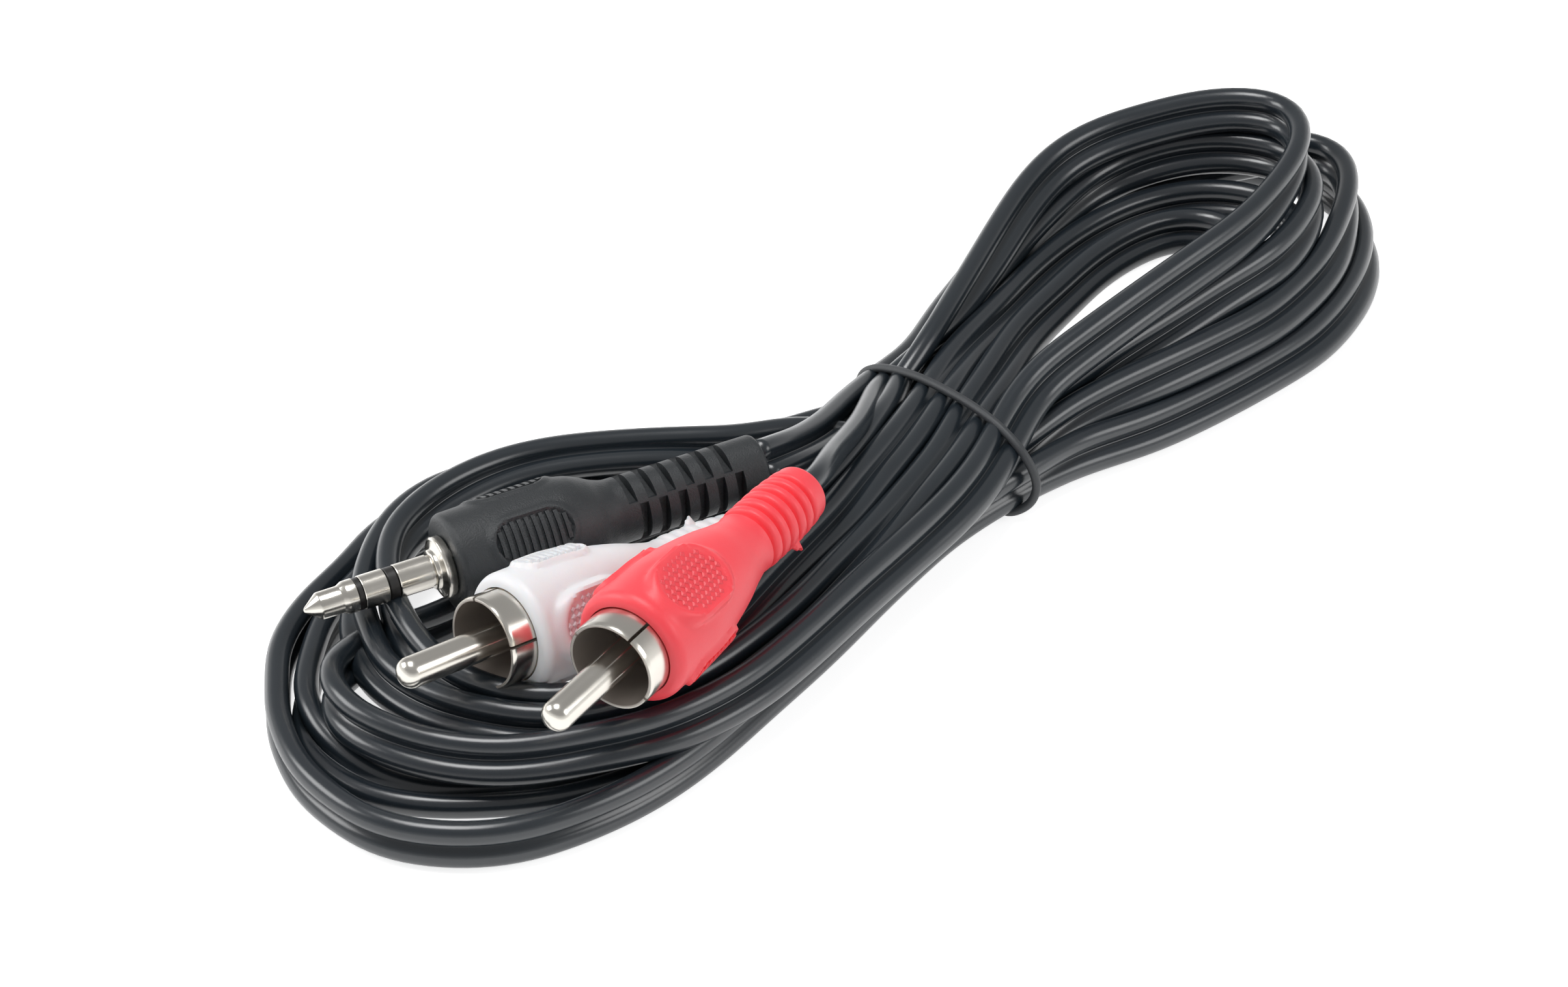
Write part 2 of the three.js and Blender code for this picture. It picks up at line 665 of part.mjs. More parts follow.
// The origin is under the middle of the whole object, on the surface it lies on
const bounds = new THREE.Box3().setFromObject(cable, true);
const middle = bounds.getCenter(new THREE.Vector3());
cable.position.set(-middle.x, -middle.y, -bounds.min.z);

const lead = new THREE.Group();
lead.add(cable);

export default lead;
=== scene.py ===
import json
import math
import bpy
from mathutils import Matrix, Vector, kdtree

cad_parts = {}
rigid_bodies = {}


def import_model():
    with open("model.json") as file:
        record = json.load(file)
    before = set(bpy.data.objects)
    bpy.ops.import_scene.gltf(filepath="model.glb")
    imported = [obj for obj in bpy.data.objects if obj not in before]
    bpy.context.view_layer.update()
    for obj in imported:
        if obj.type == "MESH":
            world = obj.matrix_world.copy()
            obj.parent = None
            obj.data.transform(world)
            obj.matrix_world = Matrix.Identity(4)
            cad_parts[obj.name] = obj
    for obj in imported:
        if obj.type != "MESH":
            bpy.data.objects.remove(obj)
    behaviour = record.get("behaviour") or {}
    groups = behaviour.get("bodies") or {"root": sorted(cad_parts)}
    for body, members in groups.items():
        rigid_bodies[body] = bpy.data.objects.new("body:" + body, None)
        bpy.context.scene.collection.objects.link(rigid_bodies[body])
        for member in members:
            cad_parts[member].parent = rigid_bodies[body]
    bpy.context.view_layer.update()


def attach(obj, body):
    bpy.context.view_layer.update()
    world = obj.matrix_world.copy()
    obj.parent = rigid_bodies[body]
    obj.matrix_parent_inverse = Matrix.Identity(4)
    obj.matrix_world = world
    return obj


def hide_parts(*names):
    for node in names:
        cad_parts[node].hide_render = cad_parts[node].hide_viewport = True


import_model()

mm = 0.001


# Helpers for meshes

def makePiece(name, corners, faces, material, body="root", smooth=True):
    mesh = bpy.data.meshes.new(name)
    mesh.from_pydata([tuple(c) for c in corners], [], faces)
    mesh.update()
    if smooth:
        mesh.shade_smooth()
    mesh.materials.append(material)
    piece = bpy.data.objects.new(name, mesh)
    bpy.context.scene.collection.objects.link(piece)
    if body:
        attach(piece, body)
    return piece


def smoothLine(points, steps):
    # A centripetal spline through points of any number of values, the first three a place
    line = []
    first = [2 * a - b for a, b in zip(points[0], points[1])]
    last = [2 * a - b for a, b in zip(points[-1], points[-2])]
    stops = [first] + [list(p) for p in points] + [last]
    for k in range(1, len(stops) - 2):
        p = stops[k - 1:k + 3]
        knots = [0.0]
        for a, b in zip(p, p[1:]):
            knots.append(knots[-1] + max(math.sqrt(math.dist(a[:3], b[:3])), 1e-6))
        for i in range(steps):
            t = knots[1] + (knots[2] - knots[1]) * i / steps
            level = p
            for width in (1, 2, 3):
                level = [
                    blendStops(level[j], level[j + 1], t, *spanOf(knots, j, width))
                    for j in range(len(level) - 1)
                ]
            line.append(level[0])
    line.append(list(points[-1]))
    return line


def spanOf(knots, j, width):
    if width == 3:
        return knots[1], knots[2]
    return knots[j], knots[j + width]


def blendStops(a, b, t, start, end):
    share = (t - start) / (end - start)
    return [u + (v - u) * share for u, v in zip(a, b)]


def evenLine(line, spacing):
    # The same line with its points at an even distance
    reach = [0.0]
    for a, b in zip(line, line[1:]):
        reach.append(reach[-1] + math.dist(a[:3], b[:3]))
    count = max(2, round(reach[-1] / spacing))
    even = []
    k = 0
    for i in range(count + 1):
        at = reach[-1] * i / count
        while k < len(reach) - 2 and reach[k + 1] < at:
            k += 1
        share = (at - reach[k]) / max(reach[k + 1] - reach[k], 1e-9)
        even.append([a + (b - a) * share for a, b in zip(line[k], line[k + 1])])
    return even


def relaxLine(line, rounds):
    for _ in range(rounds):
        line = [line[0]] + [
            [(a + 2 * b + c) / 4 for a, b, c in zip(p, q, r)]
            for p, q, r in zip(line, line[1:], line[2:])
        ] + [line[-1]]
    return line


def ringFaces(rings, sides, closed=False):
    faces = []
    for i in range(rings if closed else rings - 1):
        j = (i + 1) % rings
        for k in range(sides):
            n = (k + 1) % sides
            faces.append((i * sides + k, i * sides + n, j * sides + n, j * sides + k))
    if not closed:
        faces.append(tuple(reversed(range(sides))))
        faces.append(tuple((rings - 1) * sides + k for k in range(sides)))
    return faces


def sweptCorners(line, section, leanAt=None):
    # Rings of a section along a line; lean turns the section's first axis from upright
    corners = []
    last = len(line) - 1
    for i, p in enumerate(line):
        before, after = line[max(i - 1, 0)], line[min(i + 1, last)]
        along = (Vector(after[:3]) - Vector(before[:3])).normalized()
        side = Vector((0, 0, 1)).cross(along).normalized()
        up = along.cross(side)
        lean = math.radians(p[3]) if leanAt is None else leanAt
        wide = up * math.cos(lean) + side * math.sin(lean)
        thin = along.cross(wide)
        for a, b in section:
            corners.append(Vector(p[:3]) + wide * a + thin * b)
    return corners


def roundSection(radius, sides):
    return [
        (radius * math.cos(2 * math.pi * k / sides), radius * math.sin(2 * math.pi * k / sides))
        for k in range(sides)
    ]


# Materials

def fromHex(code):
    def linear(v):
        return v / 12.92 if v <= 0.04045 else ((v + 0.055) / 1.055) ** 2.4
    return tuple(linear(int(code[i:i + 2], 16) / 255) for i in (1, 3, 5)) + (1.0,)


def addNode(tree, kind, inputs=None, **settings):
    node = tree.nodes.new(kind)
    for key, value in settings.items():
        setattr(node, key, value)
    for key, value in (inputs or {}).items():
        if isinstance(value, bpy.types.NodeSocket):
            tree.links.new(value, node.inputs[key])
        else:
            node.inputs[key].default_value = value
    return node


def newMaterial(name):
    material = bpy.data.materials.new(name)
    material.use_nodes = True
    material.node_tree.nodes.clear()
    return material, material.node_tree


def finishMaterial(material, tree, shader):
    addNode(tree, "ShaderNodeOutputMaterial", {"Surface": shader})
    return material


pvc = {
    "broadScale": 180.0, "broadDetail": 3.0, "fineDetail": 4.0, "fineRoughness": 0.6,
    "glossier": 0.03, "duller": 0.04, "grainDepth": 0.0001, "glowReach": (0.0012, 0.0008, 0.0006),
}


def mouldedPvc(name, colour, roughness, grain, grainScale, mottle=0.06, subsurface=0.0, ior=1.53):
    # Moulded PVC: a soft sheen, broken by the mould's fine grain and by slight unevenness
    material, tree = newMaterial(name)
    coords = addNode(tree, "ShaderNodeTexCoord").outputs["Object"]
    broad = addNode(tree, "ShaderNodeTexNoise", {
        "Vector": coords, "Scale": pvc["broadScale"], "Detail": pvc["broadDetail"],
    })
    fine = addNode(tree, "ShaderNodeTexNoise", {
        "Vector": coords, "Scale": grainScale, "Detail": pvc["fineDetail"],
        "Roughness": pvc["fineRoughness"],
    })
    dark = tuple(c * (1 - mottle) for c in fromHex(colour)[:3]) + (1.0,)
    light = tuple(min(1.0, c * (1 + mottle)) for c in fromHex(colour)[:3]) + (1.0,)
    # Mix has sockets of one name for each data type, so the colour ones are set by place
    tone = addNode(tree, "ShaderNodeMix", {0: broad.outputs["Fac"]}, data_type="RGBA")
    tone.inputs[6].default_value = dark
    tone.inputs[7].default_value = light
    rough = addNode(tree, "ShaderNodeMapRange", {
        "Value": fine.outputs["Fac"], "To Min": roughness - pvc["glossier"],
        "To Max": roughness + pvc["duller"],
    })
    bump = addNode(tree, "ShaderNodeBump", {
        "Height": fine.outputs["Fac"], "Strength": grain, "Distance": pvc["grainDepth"],
    })
    shader = addNode(tree, "ShaderNodeBsdfPrincipled", {
        "Base Color": tone.outputs[2], "Roughness": rough.outputs["Result"], "IOR": ior,
        "Normal": bump.outputs["Normal"],
    })
    if subsurface:
        shader.inputs["Subsurface Weight"].default_value = subsurface
        shader.inputs["Subsurface Radius"].default_value = pvc["glowReach"]
        shader.inputs["Subsurface Scale"].default_value = 1.0
    return finishMaterial(material, tree, shader.outputs[0])


# The inside colour is painted light on a skirt's inner wall; less metal there lets it show as lit diffuse
# colour
plating = {
    "cloudScale": 420.0, "cloudDetail": 3.0, "glossier": 0.04, "duller": 0.08, "dents": 0.05,
    "dentDepth": 0.00005, "insidePaintedLight": "#968d86", "insideDulled": 0.32, "insideMetal": -0.55,
}


def nickelPlate(name, colour="#d6d2ca", roughness=0.19):
    # Bright nickel plate: warm reflections, clouded by handling; inside a skirt it is rougher and less
    # metallic, and a paler grey-brown is painted in there as light on the inner wall
    material, tree = newMaterial(name)
    coords = addNode(tree, "ShaderNodeTexCoord").outputs["Object"]
    inside = addNode(tree, "ShaderNodeAttribute", attribute_name="inside").outputs["Fac"]
    cloud = addNode(tree, "ShaderNodeTexNoise", {
        "Vector": coords, "Scale": plating["cloudScale"], "Detail": plating["cloudDetail"],
    })
    # Inside a skirt the plate takes the painted light colour
    plate = addNode(tree, "ShaderNodeMix", {0: inside}, data_type="RGBA")
    plate.inputs[6].default_value = fromHex(colour)
    plate.inputs[7].default_value = fromHex(plating["insidePaintedLight"])
    rough = addNode(tree, "ShaderNodeMapRange", {
        "Value": cloud.outputs["Fac"], "To Min": roughness - plating["glossier"],
        "To Max": roughness + plating["duller"],
    })
    dulled = addNode(tree, "ShaderNodeMath", {
        0: inside, 1: plating["insideDulled"], 2: rough.outputs["Result"],
    }, operation="MULTIPLY_ADD").outputs[0]
    metal = addNode(tree, "ShaderNodeMath", {
        0: inside, 1: plating["insideMetal"], 2: 1.0,
    }, operation="MULTIPLY_ADD").outputs[0]
    bump = addNode(tree, "ShaderNodeBump", {
        "Height": cloud.outputs["Fac"], "Strength": plating["dents"],
        "Distance": plating["dentDepth"],
    })
    shader = addNode(tree, "ShaderNodeBsdfPrincipled", {
        "Base Color": plate.outputs[2], "Metallic": metal, "Roughness": dulled,
        "Normal": bump.outputs["Normal"],
    })
    return finishMaterial(material, tree, shader.outputs[0])


# Smooth cord with a long bluish sheen and no grain
cordPvc = mouldedPvc(
    "extruded black PVC", "#1d242a", roughness=0.25, grain=0.0, grainScale=320.0, ior=1.65,
)
# Dull leathery grip, its sparks catching the light
gripPvc = mouldedPvc(
    "spark-grained black PVC", "#202427", roughness=0.46, grain=0.6, grainScale=5200.0,
)
# Warm red that glows a little where it is thin
redPvc = mouldedPvc(
    "moulded red PVC", "#fb4a54", roughness=0.42, grain=0.18, grainScale=4200.0, mottle=0.03,
    subsurface=0.25,
)
# Soft milky white with gentle shadows
whitePvc = mouldedPvc(
    "moulded white PVC", "#e9e9eb", roughness=0.42, grain=0.18, grainScale=4200.0, mottle=0.02,
    subsurface=0.3,
)
# Dark rings that part the plug's contacts
insulatorPlastic = mouldedPvc(
    "black insulator plastic", "#1a1817", roughness=0.4, grain=0.1, grainScale=3000.0,
)
# Dull brown board at the bottom of each skirt
phenolic = mouldedPvc(
    "brown insulator board", "#6d655f", roughness=0.5, grain=0.15, grainScale=2600.0,
)
# Pale filling that only an opened plug shows
corePlastic = mouldedPvc(
    "pale inner moulding", "#d8d2c4", roughness=0.55, grain=0.1, grainScale=2500.0,
)
# Matt grey band, a little paler than the cord
elasticRubber = mouldedPvc(
    "dark elastic", "#34373a", roughness=0.5, grain=0.25, grainScale=5000.0,
)
# Bright contacts with blurred reflections
nickel = nickelPlate("nickel plate")
# Reddish wire ends inside the plugs
copper = nickelPlate("bare copper", "#b87a50", 0.35)
print("materials made")


# Camera

cameraPlace = {"at": (-282.12, -273.6, 275.32), "look": (0.5792, 0.5792, -0.5736), "lens": 103.15}
cameraData = bpy.data.cameras.new("camera")
cameraData.lens = cameraPlace["lens"]
cameraData.sensor_width = 36
cameraData.clip_start = 0.01
cameraData.clip_end = 50
camera = bpy.data.objects.new("camera", cameraData)
camera.location = [v * mm for v in cameraPlace["at"]]
camera.rotation_euler = Vector(cameraPlace["look"]).to_track_quat("-Z", "Y").to_euler()
bpy.context.scene.collection.objects.link(camera)
bpy.context.scene.camera = camera


# Cord: every stop is x, y, z in mm and the lean of its flat side from upright in degrees

cord = {
    "strand": 2.5, "pitch": 2.6, "spacing": 1.2, "arc": 165, "arcSides": 13, "singleSides": 24,
    "steps": 8, "relax": 6, "singleRelax": 2, "settledRelax": 2, "clearOfTie": 6,
}
twinLead = [
    # from the stereo plug over the waist to the tie
    (-14.5, -2.6, 12.3, 40), (-10.5, -2.2, 11.2, 50), (-5.5, -0.8, 9.2, 55), (0, 1.2, 7.2, 50),
    (5.5, 3.9, 5.3, 30), (10, 6.1, 4, 10), (14, 7.6, 3.4, 0),
    # far loop, outermost
    (21, 9.5, 2.8, 0), (28.5, 13, 2.6, 0), (38, 16.5, 2.6, 0), (50, 20.5, 2.6, 0), (62, 21, 2.6, 0),
    (72, 18, 2.6, 0), (79.5, 12, 2.6, 0), (82.5, 4.5, 2.6, 0), (81, -3, 2.6, 0), (77, -9, 2.6, -10),
    (71.5, -13.5, 2.6, -28), (64, -17, 2.6, -40), (55.5, -19, 2.6, -45), (48, -19, 2.6, -45),
    (39, -18.5, 2.6, -42), (29.5, -17.5, 2.7, -38), (21, -15.5, 2.9, -25), (12.5, -15.4, 3.5, 0),
    # near loop, outermost
    (1.5, -15, 3, 0), (-8.5, -16.5, 2.7, 0), (-20.5, -19, 2.6, 0), (-32, -21, 2.6, 0),
    (-44, -23.5, 2.6, 0), (-52, -24, 2.6, 0), (-59.5, -23, 2.6, 0), (-65.5, -21, 2.6, 0),
    (-70, -17.5, 2.6, 0), (-73.5, -12.5, 2.6, 0), (-74.5, -9, 2.6, 0), (-74.5, -4.5, 2.6, 0),
    (-74, 0, 2.6, 0), (-72, 5, 2.6, 0), (-69.5, 9.5, 2.6, 0), (-66.5, 13, 2.6, 0), (-63.5, 16.5, 2.6, 0),
    (-60.5, 18.5, 2.6, 0), (-56, 20.5, 2.6, 0), (-48.5, 22.5, 2.6, 0), (-43, 25, 2.6, 0),
    (-37.5, 25.5, 2.6, 0), (-31, 24.5, 2.6, 0), (-24.5, 21.5, 2.6, 0), (-17, 17.5, 2.6, 0),
    (-10.5, 12.5, 2.8, 0), (-3, 9, 3, 0), (5, 7, 3.4, 0), (12.5, 4.8, 3.9, 0),
    # far loop, second
    (21.5, 6.5, 3.8, 0), (33, 12, 3.4, 0), (41, 14.5, 4.9, 10), (51, 16, 6, 25), (60.5, 14, 6.5, 25),
    (68, 10.5, 7, 25), (74.5, 7, 7.5, 20), (79.5, 3, 8, 15), (80.5, -1.5, 8, 5), (76.5, -6.5, 8, 0),
    (70.5, -10.5, 7.6, -20), (64, -13.5, 7.2, -38), (57.5, -15, 6.8, -45), (50.5, -16, 6.6, -45),
    (43, -15.5, 6.4, -45), (35, -14.5, 6.2, -40), (28, -13, 5.6, -25), (21.5, -12, 4.8, -10),
    (12.5, -12.3, 3.8, 0),
    # near loop, second
    (2.5, -12.5, 3.4, 0), (-11, -15, 3, 0), (-22.5, -17, 2.6, -10), (-33, -19.5, 2.2, -30),
    (-43.5, -20, 1.8, -60), (-51.5, -19, 1.4, -85), (-58, -16, 1.3, -90), (-62.5, -12.5, 1.3, -90),
    (-66.5, -8.5, 1.3, -90), (-69, -3.5, 1.4, -80), (-69.5, 1, 1.8, -60), (-69, 5, 2.2, -40),
    (-67.5, 8, 2.5, -15), (-64.5, 11.5, 2.6, 0), (-61, 14.5, 2.6, 0), (-56.5, 18, 2.6, 0),
    (-48.5, 21, 2.6, 0), (-43, 22.5, 2.6, 0), (-37, 22, 2.6, 0), (-29.5, 20, 2.6, 0),
    (-21.5, 16.5, 2.6, 0), (-13, 11.5, 2.8, 0), (-5, 8, 3.3, 0), (2.5, 5, 3.7, 0), (12.5, 2.1, 4, 0),
    # far loop, third
    (22, 4, 4.5, 5), (33, 9, 5.2, 0), (41, 11.5, 6.7, 0), (48.5, 13, 7.9, 5), (57.5, 14, 8.8, 15),
    (64, 11, 10.5, 30), (70, 6.5, 11, 25), (73, 0.5, 11, 10), (70, -6.5, 11, 0), (64.5, -10.5, 10.5, -15),
    (56.5, -13, 10, -28), (48, -12.5, 9.4, -38), (38.5, -12, 8.6, -38), (30, -11, 7.6, -30),
    (22.5, -10, 6, -15), (12.5, -7.1, 4.1, 0),
    # near loop, innermost and highest
    (3.5, -1, 4.6, -5), (0, 4, 5.2, -15), (-8.5, 7.5, 6, -40), (-13.5, 11, 6.6, -60),
    (-20.5, 15.5, 7, -65), (-27.5, 19, 7.3, -60), (-34, 20.5, 7.5, -50), (-40, 20.5, 7.5, -35),
    (-45.5, 19, 7.5, -20), (-50, 15.5, 7.5, -5), (-53.5, 11, 7.5, 5), (-56, 6, 7.5, 15), (-58, 0, 7.5, 25),
    (-57.5, -5.5, 7.5, 30), (-55.5, -10.5, 7.5, 35), (-50.5, -15, 7.5, 35), (-43, -17, 7.5, 35),
    (-33.5, -16.5, 7.8, 38), (-23, -14, 8, 45), (-11, -11.5, 8.1, 60), (-3, -8.5, 8.2, 75),
    (4, -6, 8.3, 80), (12.5, -2.5, 8.2, 95),
    # far loop, fourth
    (20.5, 1.5, 7.6, 75), (30.5, 5.5, 6.4, 60), (42, 9.5, 5.4, 45), (52, 10.5, 5.5, 35),
    (60.5, 9, 5.7, 30), (66.5, 5, 6, 25), (69.5, -1.5, 6, 10), (67, -8, 6, 0), (61, -12, 6, -15),
    (52, -12, 6, -30), (41.5, -11.5, 5.5, -35), (31, -10.5, 4.8, -20), (22, -9, 4.3, -10),
    (12.5, -3.7, 4.1, 0),
    # near loop, fourth
    (5.5, -0.5, 4.2, 0), (0.5, 3.5, 4.4, -5), (-6.5, 7, 4.8, -5), (-13.5, 11, 5, -10),
    (-21.5, 16.5, 5.2, -20), (-29, 20.5, 5.4, -20), (-35.5, 22.5, 5.5, -20), (-41.5, 22.5, 5.5, -15),
    (-46.5, 21, 5.5, -5), (-51.5, 18, 5.5, 10), (-55.5, 14.5, 5.5, 30), (-58, 10, 5.5, 45),
    (-60, 6, 5.5, 40), (-60.5, 1.5, 5.5, 35), (-60, -3, 5.5, 35), (-58.5, -8, 5.8, 35), (-55, -14, 6, 35),
    (-49.5, -17.5, 6, 35), (-43, -19.5, 6, 35), (-35, -20, 6, 35), (-25, -19, 6.5, 40),
    (-15.5, -16.5, 7.1, 60), (-4, -13.5, 7.6, 90), (5, -11, 8, 95), (12.5, -7.5, 8, 85),
    # far loop, innermost
    (19.5, -4.5, 7.8, 75), (28.5, -0.5, 7.4, 55), (37.5, 2, 7.3, 40), (45, 3.5, 7.5, 35),
    (53, 3.5, 7.5, 35), (58.3, 1.8, 7.2, 25), (60.6, -2.6, 7, 10), (57.8, -7.2, 7, 0), (50.5, -9, 7.5, -15),
    (42, -9, 7.5, -25), (33, -8, 6.6, -20), (25.5, -6.5, 5.2, -10), (18.5, -4, 4.4, -5),
    (12.5, -0.7, 4.1, 0),
    # near loop, third
    (6.5, 1, 4.2, 0), (-1.5, 2.5, 3.6, 0), (-9.5, 4.5, 3, 0), (-18, 6, 2.7, 0), (-26, 7.5, 2.6, 0),
    (-34, 9, 2.6, 0), (-42.5, 10, 2.6, 0), (-48.5, 10.5, 2.6, 0), (-53, 11, 3.2, -15),
    (-57.5, 10.5, 4.2, -25), (-61, 9, 5.2, -25), (-63.5, 8, 5.7, -15), (-66, 5.5, 6, 5), (-67.5, 2, 6, 20),
    (-67.5, -1.5, 6, 30), (-66.5, -6, 6, 35), (-64, -11, 6, 35), (-60, -15.5, 6, 35), (-54.5, -19, 6, 35),
    (-47.5, -22.5, 6, 35), (-38.5, -23.5, 6, 35), (-28.5, -22, 6, 35), (-18, -19.5, 6, 35),
    (-8.5, -17.5, 6.2, 35), (-2, -16.5, 6.7, 45), (4.5, -15, 7.2, 55), (12.5, -11.8, 7.5, 60),
    # far loop, highest
    (16, -10.5, 8.2, 50), (21, -9.5, 9.2, 42), (26.5, -10, 10.6, 38), (34, -10.5, 12, 38),
    (41, -10.5, 12.6, 38), (47.5, -10.5, 13.2, 35), (54.5, -10, 13.8, 30), (62, -8, 14.3, 15),
    (68, -5.5, 14.8, 0), (72.5, -2, 15, -5), (74, 2, 15, -15), (72, 6, 15, -25), (68, 9.5, 14.8, -30),
    (63.5, 12, 14.4, -35), (58, 14.5, 13.8, -35), (52.5, 15.5, 13, -35), (46, 14.5, 12, -35),
    (39, 12, 11, -35), (31.5, 9, 10, -25), (23, 6, 9, 0), (16.5, 4.5, 8, 35), (12.5, 4.3, 6.6, 60),
]
redLead = [(12.5, 5.4, 6), (9.3, 3.8, 7), (4.6, 0.5, 8.7), (0, -2.6, 10.3), (-4.8, -5.4, 12),
           (-9, -7.8, 13.6), (-13, -10.4, 15.2), (-16, -12.1, 16), (-18.9, -12.9, 16.2)]
whiteLead = [(12.5, 3.2, 7.2), (8.5, 0.8, 7.9), (3.5, -1.6, 8.7), (-2, -3.9, 8.9), (-7.5, -5.7, 8.8),
             (-13, -6.7, 8.5), (-17.5, -7, 8.3), (-21.4, -7, 8.5)]


def twinSection():
    # Two round strands joined by a thin web
    radius = cord["strand"] / 2 * mm
    half = cord["pitch"] / 2 * mm
    section = []
    for sign in (1, -1):
        for k in range(cord["arcSides"] + 1):
            turn = math.radians(-cord["arc"] + 2 * cord["arc"] * k / cord["arcSides"])
            section.append((sign * (half + radius * math.cos(turn)), sign * radius * math.sin(turn)))
    return section


def inMetres(stops):
    return [[p[0] * mm, p[1] * mm, p[2] * mm] + list(p[3:]) for p in stops]


def laidLine(stops, rounds):
    line = evenLine(smoothLine(inMetres(stops), cord["steps"]), cord["spacing"] * mm)
    return relaxLine(line, rounds)


def lineLength(line):
    return sum(math.dist(a[:3], b[:3]) for a, b in zip(line, line[1:]))


settle = {"rounds": 14, "share": 0.12, "skip": 8, "most": 0.25, "held": 6, "soften": 110}


def settleLine(line, fixed):
    # The turns come to rest: strands that cut into each other, a single lead or the floor give way
    reach = cord["strand"] * mm
    half = cord["pitch"] / 2 * mm
    for _ in range(settle["rounds"]):
        strands = sweptCorners(line, [(half, 0), (-half, 0)])
        tree = kdtree.KDTree(len(strands) + len(fixed))
        for k, place in enumerate(strands + fixed):
            tree.insert(place, k)
        tree.balance()
        pushes = []
        deepest = 0.0
        for i in range(len(line)):
            push = Vector()
            for place in strands[2 * i:2 * i + 2]:
                for near, k, gap in tree.find_range(place, reach):
                    if k >= len(strands) or abs(k // 2 - i) > settle["skip"]:
                        push += (place - near) * (settle["share"] * (reach / max(gap, 0.0001) - 1))
                        deepest = max(deepest, reach - gap)
                push.z += max(reach / 2 - place.z, 0) / 2
            held = min(i, len(line) - 1 - i) / settle["held"]
            push *= min(held, 1.0) * min(1.0, settle["most"] * mm / max(push.length, 0.000001))
            pushes.append(list(push))
        line = [
            [a + b for a, b in zip(p, push)] + [p[3]]
            for p, push in zip(line, relaxLine(pushes, settle["soften"]))
        ]
    print("turns settled, deepest overlap left %.2f mm" % (deepest / mm))
    return relaxLine(line, cord["settledRelax"])


singleLines = {
    name: laidLine(stops, cord["singleRelax"])
    for name, stops in (("red", redLead), ("white", whiteLead))
}
twinLine = settleLine(
    laidLine(twinLead, cord["relax"]),
    [Vector(p) for line in singleLines.values() for p in line[cord["clearOfTie"]:]],
)
section = twinSection()
twin = makePiece(
    "twin_lead", sweptCorners(twinLine, section), ringFaces(len(twinLine), len(section)), cordPvc,
)
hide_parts("cord_hank", "cord_jack_tail")


def singleLead(name, line, node):
    ring = roundSection(cord["strand"] / 2 * mm, cord["singleSides"])
    lead = makePiece(name, sweptCorners(line, ring, 0.0), ringFaces(len(line), len(ring)), cordPvc)
    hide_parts(node)
    return lead


redLine = singleLines["red"]
whiteLine = singleLines["white"]
redCord = singleLead("red_strand", redLine, "cord_red_tail")
whiteCord = singleLead("white_strand", whiteLine, "cord_white_tail")
print("cords made, twin %.3f m, red %.3f m, white %.3f m" % tuple(
    lineLength(line) for line in (twinLine, redLine, whiteLine)
))


# Elastic tie: a thin round band pulled over the waist, closed beneath it

tie = {"thickness": 0.96, "sides": 20, "steps": 8}
tieStops = [
    (13.3, 10.2, 3), (13.2, 9.4, 5), (13, 7.3, 6.7), (12.5, 4.1, 8.2), (11.9, 0.4, 9.4), (11.6, -3, 9.9),
    (11.3, -8.6, 10), (11, -13, 9.4), (10.9, -16.1, 7.9), (11.1, -17.6, 5.8), (11.2, -17.9, 3.9),
    (10.7, -17.3, 2), (9.5, -15.6, 0.8), (10, -8, 0.5), (11, 0, 0.5), (12.3, 7, 0.5), (13.1, 9.7, 1.3),
]


def closedLine(stops, steps):
    turn = stops[-3:] + stops + stops[:3]
    line = smoothLine(turn, steps)
    return line[3 * steps:-3 * steps]


def sweptLoop(line, section):
    # Rings round a loop that stands across the hank, so each ring is set out from the X axis
    corners = []
    for i, p in enumerate(line):
        along = (Vector(line[(i + 1) % len(line)]) - Vector(line[i - 1])).normalized()
        out = along.cross(Vector((1, 0, 0))).normalized()
        flat = along.cross(out)
        corners += [Vector(p) + out * a + flat * b for a, b in section]
    return corners


tieLine = closedLine(inMetres(tieStops), tie["steps"])
tieRing = roundSection(tie["thickness"] / 2 * mm, tie["sides"])
tieBand = makePiece(
    "elastic_tie", sweptLoop(tieLine, tieRing), ringFaces(len(tieLine), tie["sides"], True), elasticRubber,
)
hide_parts("tie_band")


# Plugs: each is built along +X from its own reference point and then laid in place

# The tie's middle, and each plug's place from there in mm with its turns in degrees
waist = (12.293, -4.098, 0.0)
places = {
    "jack": {"at": (-75.0, 17.2, 10.5), "yaw": -18.1, "dip": -2.0, "roll": 5.0},
    "red": {"at": (-64.8, -16.5, 16.2), "yaw": 12.8, "dip": 0.0, "roll": 30.0},
    "white": {"at": (-67.8, -1.4, 12.5), "yaw": -2.6, "dip": 6.8, "roll": 68.0},
}


def layOf(plug):
    place = places[plug]
    turn = Matrix.Identity(4)
    for axis, key in (("Z", "yaw"), ("Y", "dip"), ("X", "roll")):
        turn = turn @ Matrix.Rotation(math.radians(place[key]), 4, axis)
    at = [(a + b) * mm for a, b in zip(place["at"], waist)]
    return Matrix.Translation(at) @ turn


def easedAt(table, at):
    # A smooth curve through a table of station and radius that never overshoots
    if at <= table[0][0]:
        return table[0][1]
    if at >= table[-1][0]:
        return table[-1][1]
    slopes = [(b[1] - a[1]) / (b[0] - a[0]) for a, b in zip(table, table[1:])]
    k = max(i for i in range(len(slopes)) if table[i][0] <= at)

    def tangent(i):
        if i == 0 or i == len(slopes):
            return slopes[min(i, len(slopes) - 1)]
        a, b = slopes[i - 1], slopes[i]
        return 0.0 if a * b <= 0 else 2 * a * b / (a + b)
    (x0, y0), (x1, y1) = table[k], table[k + 1]
    span = x1 - x0
    t = (at - x0) / span
    return (
        y0 * (1 + 2 * t) * (1 - t) ** 2 + y1 * t * t * (3 - 2 * t)
        + span * t * (1 - t) * (tangent(k) * (1 - t) - tangent(k + 1) * t)
    )


